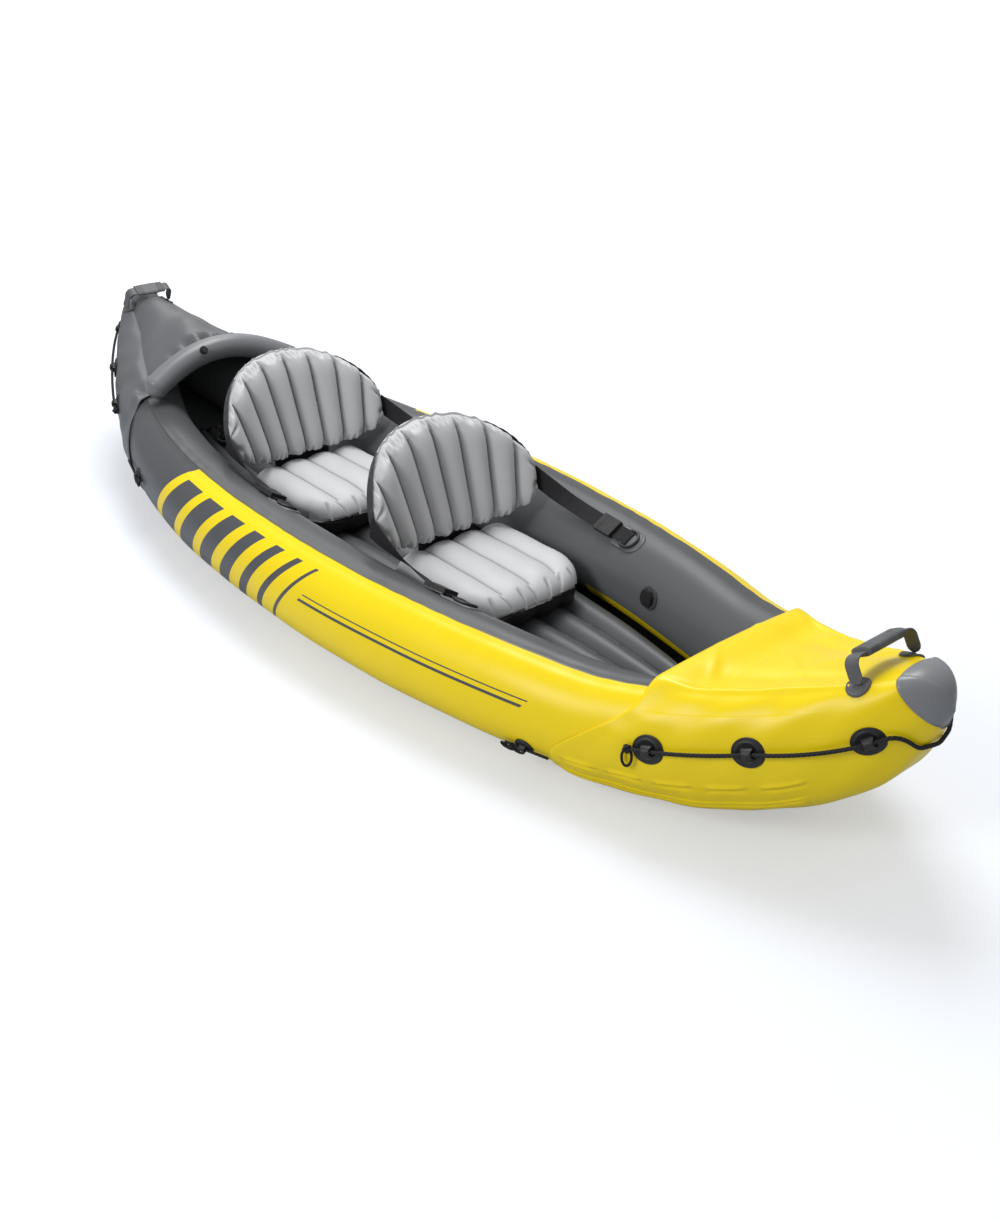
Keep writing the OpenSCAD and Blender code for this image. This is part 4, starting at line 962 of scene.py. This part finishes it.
def fill(v, n):
    """The side view of a filled tube: round ends and a flat middle, flatter with a higher power."""
    return np.sqrt(np.maximum(1 - np.abs(2 * v - 1) ** n, 0))


def cushion_rows(x, low):
    """A cushion as rings from its rear to its front: the upper side there, the underside back."""
    v = (1 - np.cos(np.linspace(0.03, 0.985, 130) * np.pi))[:, None] / 2
    t = np.linspace(0, 1, 151)[None, :]
    t = 0.25 * (1 - np.cos(t * np.pi)) / 2 + 0.75 * t
    half = seat_width / 2 * np.where(v > 0.72, np.sqrt(1 - 0.3 * (np.maximum(v - 0.72, 0) / 0.28) ** 2), 1)
    rib = np.abs(np.sin(np.pi * seat_tubes * t)) ** 0.55
    ends = ease((v - 0.86) / 0.1)
    ridge = 0.72 + 0.28 * (rib * (1 - 0.35 * ends) + 0.35 * ends)
    full = fill(v, np.where(v < 0.5, 24, 5)) * fill(t, 9) ** 0.6
    rear = barrel + seam + 0.35 * back_wrap * (seat_width / back_width * (2 * t - 1)) ** 2
    nip = np.abs(np.sin(np.pi * seat_tubes * t))
    front = seat_length * (1 - 0.07 * (2 * t - 1) ** 4)
    place = x + rear + v * (front - rear - 0.004 * (1 - nip) * v)
    across = half * (2 * t - 1) + 0 * v
    fold_at = np.array([0.085, 0.243, 0.365, 0.492, 0.622, 0.757, 0.915])
    lean = np.array([0.5, -0.25, 0.1, -0.2, 0.15, 0.25, -0.5])
    short = 1 - v[..., None]
    folds = hump(t[..., None] - fold_at - lean * short, 0.0085 + 0.05 * short).sum(-1)
    folds = folds * ease((v - 0.90) / 0.05) * (1 - ease((v - 0.99) / 0.02))
    middle = low + seam + 0.45 * seat_height
    puff = 0.0010 * np.sin(place * 51 + 7 * t) * rib
    top = middle + edge_tuck / 2 + (0.55 * seat_height - edge_tuck / 2) * full * ridge
    top = top - 0.013 * folds + puff * full
    under = middle - edge_tuck / 2 - (0.45 * seat_height - edge_tuck / 2) * np.minimum(1, 1.6 * full * ridge)
    upper = np.stack([place, across, top], -1)
    lower = np.stack([place, across, under], -1)[:, ::-1]
    turn = np.concatenate([t, 2 - t[:, ::-1]], 1) / uv_turn
    return np.concatenate([upper, lower], 1), middle, np.stack(np.broadcast_arrays(v, turn), -1)


def paint_weld_shade(s, place, run, tubes, tone, stop, depth):
    """Paints shade into a colour along the weld grooves between tubes, at whole numbers of a coordinate, but
    not at the rim.
    """
    # Painted shade: a dark line down each groove between the tubes, where shade falls, fading out before the
    # rim.
    gap = s.math("PINGPONG", place * tubes, 0.5)
    shade_share = s.node("MapRange", {},
                  {"Value": gap, "From Min": 0.0, "From Max": 0.055, "To Min": depth, "To Max": 0.0})
    return s.mix(shade_share * (run < stop), tone, ink(70, 71, 73))


def seat_paint(s, middle):
    """Pale satin vinyl above the edge weld, white piping on it, and black below, with painted shade along the
    weld grooves.
    """
    run, turn = s.surface()
    height = s.node("SeparateXYZ", {}, {0: s.spot()}, out=2)
    tone = s.mix(height > middle - 0.0035, ink(26, 26, 28), ink(244, 244, 244))
    # Painted shade along the cushion's weld grooves.
    pale = paint_weld_shade(s, turn * uv_turn, run, seat_tubes, ink(194, 195, 197), 0.9, 0.6)
    return vinyl_coat(s, s.mix(height > middle + 0.0010, tone, pale), 0.5, 0.0001)


for name, x, low in seats:
    rows, middle, seat_uv = cushion_rows(x, low)
    piece = sealed(name + "_cushion_tubes", rows, seat_uv)
    seat_vinyl = finish(name + "_seat_vinyl", lambda s: seat_paint(s, middle), Specular_IOR_Level=0.4)
    dress(piece, "hull", seat_vinyl, name + "_seat_cushion")
    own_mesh(piece)


# Seat bases: a mat of black woven fabric under each cushion, which lies on the floor's tubes.
# A short flap is sewn to its rear edge, and the backrest hinges on it.
mat_thick, mat_middle, mat_long, mat_wide = 0.004, 0.137, 0.177, 0.164
flap_half, flap_thick = 0.0865, 0.0018


def webbing_coat(s):
    """Woven black webbing: slanting ribs, paler along the ribs' crowns and in soft patches."""
    rib = s.threads("DIAGONAL", 520.0, 0.6)
    yarn = s.noise(900.0, 2.0)
    tone = s.mix(rib * 0.5 + s.noise(25.0, 4.0) * 0.4, ink(20, 20, 22), ink(48, 48, 51))
    return {"Base Color": tone, "Roughness": 0.66 + 0.2 * yarn,
            "Normal": s.bump(0.6, 0.0004, rib + yarn * 0.5)}


webbing = finish("webbing", webbing_coat, Specular_IOR_Level=0.3)
for name, x, low in seats:
    r = np.concatenate([np.linspace(0.02, 0.96, 20), np.linspace(0.975, 1, 6)])[:, None]
    c = full_turn(160)
    stretch = rounded_square(c, 7)
    mat_x = x + mat_middle + mat_long * r * np.cos(c) * stretch
    mat_y = mat_wide * r * np.sin(c) * stretch
    rise = 0.0019 * soft_edge(r, 0.03) + 0 * c
    mat_low = low - mat_thick / 2
    upper = np.stack([mat_x, mat_y, mat_low + rise], -1)
    lower = np.stack([mat_x, mat_y, mat_low - rise], -1)[::-1]
    mat = sealed("mat", np.concatenate([upper, lower[1:]]))
    flap_top = low + hinge_rise - barrel - 0.0004
    z = np.linspace(0, 1, 30)[:, None]
    c = full_turn(80)
    box = rounded_square(c, 12)
    flap_x, flap_y = x + flap_thick * np.sin(c) * box, flap_half * np.cos(c) * box
    flap_z = mat_low + (flap_top - mat_low) * z
    flap = sealed("flap", np.stack(np.broadcast_arrays(flap_x, flap_y, flap_z), -1))
    dress(join(name + "_seat_mat", [mat, flap]), "hull", webbing, name + "_seat_base")


# Backrests: eight upright air tubes of pale vinyl, cupped round the paddler and puckered at the rim.
# A panel of dark fabric is sewn behind them, folded round the hinge below and into a narrow gusset each side.
back_edge, back_widest, back_lift, back_droop = 0.985, 0.24, 0.005, 0.046
gusset_top, gusset_low, gusset_deep, gusset_thick, gusset_off = 0.235, 0.020, 0.024, 0.0010, 0.0006
hinge_half = 0.0874


def back_top(u):
    """Height of the upper edge across the back: half a flat oval."""
    return back_height * (back_widest + (1 - back_widest) * np.sqrt(1 - np.abs(u) ** 2.1))


def back_low(u):
    """Height of the lower edge: nearly straight, turned up at the sides."""
    return back_lift + (back_height * back_widest - back_lift) * (1 - np.sqrt(1 - np.abs(u) ** 4))


def backrest_rows(x, hinge):
    """A backrest as rings from one side to the other: up the front, down the back."""
    t = np.linspace(0, 1, back_tubes * 30 + 1)[:, None]
    v = (1 - np.cos(np.linspace(0, 1, 121) * np.pi))[None, :] / 2
    u = back_edge * (2 * t - 1)
    tall = back_top(u) - back_low(u)
    spread = 0.92 + 0.30 * (back_low(u) + tall * v) / back_height
    place = (u / spread + 1) / 2
    rib = np.abs(np.sin(np.pi * back_tubes * place)) ** 0.62
    near_top, near_low = (1 - v) * tall, v * tall
    hem = np.minimum(0.006, 0.2 * tall)
    inset = np.clip((near_low - hem) / np.maximum(tall - 2 * hem, 1e-6), 0, 1)
    ends = np.maximum(1 - ease((near_top - 0.010) / 0.030), 1 - ease((near_low - 0.006) / 0.016))
    ridge = 0.42 + 0.58 * (rib * (1 - 0.6 * ends) + 0.6 * ends)
    full = fill(inset, np.where(inset < 0.5, 8, 4.5)) * fill(t, 8) ** 0.6
    crease = np.abs(np.cos(np.pi * back_tubes * place)) ** 40
    crease = crease * hump(near_top - 0.022, 0.016) + 0.6 * crease * hump(near_low - 0.010, 0.010)
    rim = np.minimum(near_top, near_low)
    beat = 2 * np.pi * back_tubes * 1.5 * t + 1.9 * np.sin(23 * t)
    pucker = np.abs(np.cos(beat + 0.9)) ** 7 + 0.5 * np.abs(np.sin(61 * t + 1.3 * np.sin(17 * t))) ** 9
    pucker = pucker * hump(rim - 0.015, 0.010)
    edge_run = (near_low - near_top) / np.maximum(tall, 0.02)
    side_fold = np.abs(np.sin(4.2 * edge_run + 0.6)) ** 9 * hump(np.minimum(t, 1 - t) - 0.030, 0.024)
    dent = (0.008 * crease + 0.0085 * pucker + 0.008 * side_fold) * np.minimum(full * 2, 1)
    deep = edge_tuck + (back_depth - edge_tuck) * full * ridge - dent
    rear = x + 0.002 + seam + back_wrap * u ** 2 + 0 * v
    across = back_width / 2 * u + 0 * v
    high = hinge + back_low(u) + tall * v - back_droop * (1 - v) ** 5 * (deep - edge_tuck) / back_depth
    high = high + 0.0028 * np.sin(beat) * hump(near_top, 0.010)
    front = np.stack([rear + deep, across, high], -1)
    behind = np.stack([rear, across, hinge + back_low(u) + tall * v], -1)[:, ::-1]
    turn = np.concatenate([v, 2 - v[:, ::-1]], 1) / uv_turn
    back_uv = np.stack(np.broadcast_arrays(np.concatenate([place, place[:, ::-1]], 1), turn), -1)
    return leant(np.concatenate([front, behind], 1), x, hinge, -recline), back_uv


def back_paint(s):
    """Pale satin vinyl, painted a little darker than the cushions' as painted shade, with painted shade along
    the weld grooves.
    """
    place, run = s.surface()
    # Painted shade: this grey is a little darker than the cushions' same vinyl, standing in for the steep
    # backrest catching less light, and the weld grooves are painted darker still.
    tone = paint_weld_shade(s, place, run * uv_turn, back_tubes, ink(184, 185, 187), 0.88, 0.92)
    return vinyl_coat(s, tone, 0.46, 0.0001)


def panel_paint(s):
    """Dark woven fabric with a soft nap."""
    weave = s.threads("Y", 260.0, 0.8) * s.threads("Z", 260.0, 0.8)
    cloud = s.noise(14.0, 4.0)
    tone = s.mix(weave * 0.6 + cloud * 0.4, ink(46, 47, 50), ink(74, 76, 79))
    return {"Base Color": tone, "Roughness": 0.6 + 0.2 * cloud, "Normal": s.bump(0.5, 0.0003, weave)}


back_vinyl = finish("back_vinyl", back_paint, Specular_IOR_Level=0.5)
panel_fabric = finish("panel_fabric", panel_paint, Specular_IOR_Level=0.35)
for name, x, low in seats:
    hinge = low + hinge_rise
    rows, back_uv = backrest_rows(x, hinge)
    piece = sealed(name + "_backrest_tubes", rows, back_uv)
    dress(piece, name + "_back", back_vinyl, name + "_backrest")
    u = back_edge * np.linspace(-1, 1, 161)[:, None]
    v = np.linspace(0, 1, 41)[None, :]
    under = back_low(u) - back_lift * (1 - ease((np.abs(u) - 0.36) / 0.1))
    z = under + (back_top(u) - 0.001 - under) * v
    bow = back_wrap * u ** 2 * ease(z / back_lift)
    dent = 0.0012 * np.sin(41 * u + 23 * z) * np.sin(np.pi * v)
    y = back_width / 2 * u + 0 * v
    front = np.stack([x + 0.002 + bow, y, hinge + z], -1)
    behind = np.stack([x - 0.002 + bow - 0.0015 * np.sin(np.pi * v) ** 0.5 + dent, y, hinge + z], -1)[:, ::-1]
    made = [sealed("panel", leant(np.concatenate([front, behind], 1), x, hinge, -recline))]
    s = np.linspace(0, 1, 90)[:, None]
    band_z = gusset_low + (gusset_top - gusset_low) * s
    over = np.clip((band_z / back_height - back_widest) / (1 - back_widest), 0, 1)
    under = np.clip(1 - (band_z - back_lift) / (back_height * back_widest - back_lift), 0, 1)
    upper_half = band_z > back_widest * back_height
    limit = np.where(upper_half, (1 - over ** 2) ** (1 / 2.1), (1 - under ** 2) ** 0.25)
    limit = np.minimum(limit, back_edge)
    deep = gusset_deep * np.sin(np.pi * (0.04 + 0.92 * s)) ** 0.6
    fold = 0.0008 * np.sin(s * 61) + 0.0005 * np.sin(s * 117)
    c = full_turn(40)
    band_x = x + back_wrap * limit ** 2 + deep / 2 + (deep / 2) * np.cos(c)
    band_y = back_width / 2 * limit + gusset_off + fold * (0.4 + 0.6 * np.cos(c)) + gusset_thick * np.sin(c)
    for side_name, side in boards:
        rows = np.stack([band_x, side * band_y, hinge + band_z + 0 * c], -1)
        made.append(sealed("band", leant(rows, x, hinge, -recline)))
    c = full_turn(28)
    span = np.linspace(-hinge_half, hinge_half, 60)[:, None]
    fold_x, fold_z = x + barrel * np.cos(c), hinge + barrel * np.sin(c)
    made.append(sealed("fold", np.stack(np.broadcast_arrays(fold_x, span, fold_z), -1)))
    cloth = join(name + "_back_cloth", made)
    dress(cloth, name + "_back", panel_fabric, name + "_back_panel")


# Straps, buckles and anchors: black webbing from each side of a backrest to a moulded buckle.
# The buckle's tab is sewn to an oval vinyl patch with a plastic eye, welded to the side tube's shoulder.
anchor_angle, anchor_reach, anchor_seat, strap_width, strap_thick = 122.0, 0.368, 0.0008, 0.038, 0.0022
buckle_from, buckle_length, buckle_floor, buckle_thick, plug_tail = 0.036, 0.044, 0.0033, 0.012, 0.016
oval_half, oval_long, eye_lift, eye_radius, strap_sag = 0.032, 0.022, 0.0062, 0.0032, 0.006


def ribbon(name, path, wide, thick, facing):
    """Flat webbing: a rounded oblong section carried along a path, its width along a given way."""
    way = unit(np.gradient(path, axis=0))
    face = unit(np.cross(way, facing))
    flat = np.cross(face, way)
    c = full_turn(32)
    w, d = fuller(np.cos(c), 2 / 6) * wide / 2, fuller(np.sin(c), 2 / 6) * thick / 2
    rows = path[:, None] + w[..., None] * flat[:, None] + d[..., None] * face[:, None]
    made = skin(name, rows, (path[0], path[-1]))
    made.data.materials.append(webbing)
    return made


def plastic_coat(s):
    """Moulded nylon: fine spark grain and slightly worn edges."""
    grain = s.noise(1300.0, 2.0)
    worn = s.noise(90.0, 4.0)
    return {"Base Color": s.mix(worn, ink(20, 20, 21), ink(44, 44, 46)), "Roughness": 0.34 + 0.2 * worn,
            "Normal": s.bump(0.3, 0.0001, grain)}


buckle_plastic = finish("buckle_plastic", plastic_coat, Specular_IOR_Level=0.5)
patch_vinyl = plain_vinyl("patch_vinyl", ink(92, 95, 98), 0.4, 0.0002)
for name, x, low in seats:
    for side_name, side in boards:
        ax = np.array(x + anchor_reach)
        spot = tube(ax, anchor_angle, side, anchor_seat)
        n = tube_normal(ax, anchor_angle, side)
        d = unit(tube(ax - 0.11, anchor_angle, side) - tube(ax, anchor_angle, side))
        d = unit(d - (d * n).sum() * n)
        across = np.cross(d, n)
        r = np.concatenate([np.linspace(0.02, 0.96, 30), [0.98, 0.993, 1.0, 1.0]])[:, None]
        c = full_turn(96)
        oval = oval_half * r * np.sin(c)
        run = oval_half * r * np.cos(c) + oval_long * r * np.tanh(9 * np.cos(c))
        rings = 0.0012 * hump(r - 0.9, 0.05) + 0.0011 * hump(r - 0.62, 0.05)
        lift = 0.0021 * soft_edge(r, 0.05) + rings + 0 * c
        lift[-1] = 0
        flat = spot + run[..., None] * d + oval[..., None] * across
        oval_patch = sealed("oval", onto_tube(flat, side, anchor_seat + lift))
        oval_patch.data.materials.append(patch_vinyl)
        s = np.linspace(0, 1, 40)[:, None]
        tab_lift = 0.0045 + 0.0025 * np.sin(np.pi * s) ** 2
        tab_path = spot + d * (-0.013 + (buckle_from + 0.018) * s) + n * tab_lift
        tab = ribbon("tab", tab_path, strap_width - 0.001, 0.0024, np.broadcast_to(across, tab_path.shape))
        q = np.radians(np.linspace(20, 340, 90))[:, None]
        eye_path = spot + d * (-0.010 + 0.026 * np.cos(q)) + across * 0.0235 * np.sin(q) + n * eye_lift
        eye_path = onto_tube(eye_path, side, eye_lift)
        c = full_turn(20)[..., None]
        eye_side = unit(np.cross(unit(np.gradient(eye_path, axis=0)), n))
        rows = eye_path[:, None] + eye_radius * (np.cos(c) * eye_side[:, None] + np.sin(c) * n)
        eye_ring = skin("eye", rows, (eye_path[0], eye_path[-1]))
        eye_ring.data.materials.append(buckle_plastic)
        piece = join(f"{name}_anchor_patch_{side_name}", [oval_patch, tab, eye_ring])
        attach(piece, "hull")
        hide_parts(f"{name}_anchor_{side_name}")
        tail = buckle_from + buckle_length + seam + plug_tail + seam
        far = spot + d * (tail - 0.010) + n * (buckle_floor + buckle_thick / 2)
        hinge = low + hinge_rise
        root = np.array([x + back_wrap * back_edge ** 2 + 0.004, side * (back_edge * back_width / 2 + 0.0040),
                         hinge + 0.080])
        root = leant(root, x, hinge, -recline)
        upright = leant(np.array([0.0, 0, 1]), 0, 0, -recline)
        s = np.linspace(0, 1, 110)[:, None]
        path = root + (far - root) * s - np.array([0, 0, strap_sag]) * np.sin(np.pi * s)
        outward = across * np.sign(across[2] if abs(across[2]) > 0.05 else 1)
        facing = unit((1 - ease(s)) * upright + ease(s) * outward)
        wide = strap_width + 0.016 * (1 - ease(s * 1.6))
        piece = ribbon(f"{name}_webbing_{side_name}", path, wide, strap_thick, facing)
        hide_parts(f"{name}_strap_{side_name}")
        bend_from, bend_to = far + (root - far) * 0.55, root + (far - root) * 0.04
        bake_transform(piece)


# Valves: moulded grey bases welded to the tubes and the floor, closed by black screw caps.
# The arch has a stopper. These and the buckles keep the shape of their solids and get a plastic finish here.
def valve_coat(s):
    """Moulded plastic with a fine grain and a soft mottle."""
    grain = s.noise(800.0, 2.0)
    cloud = s.noise(50.0, 3.0)
    return {"Base Color": s.mix(cloud, ink(58, 60, 63), ink(78, 80, 83)), "Roughness": 0.36 + 0.15 * cloud,
            "Normal": s.bump(0.3, 0.0001, grain)}


valve_plastic = finish("valve_plastic", valve_coat, Specular_IOR_Level=0.5)
for node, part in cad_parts.items():
    if "valve" in node or "buckle" in node:
        part.data.materials.clear()
        part.data.materials.append(valve_plastic if node.endswith("base") else buckle_plastic)
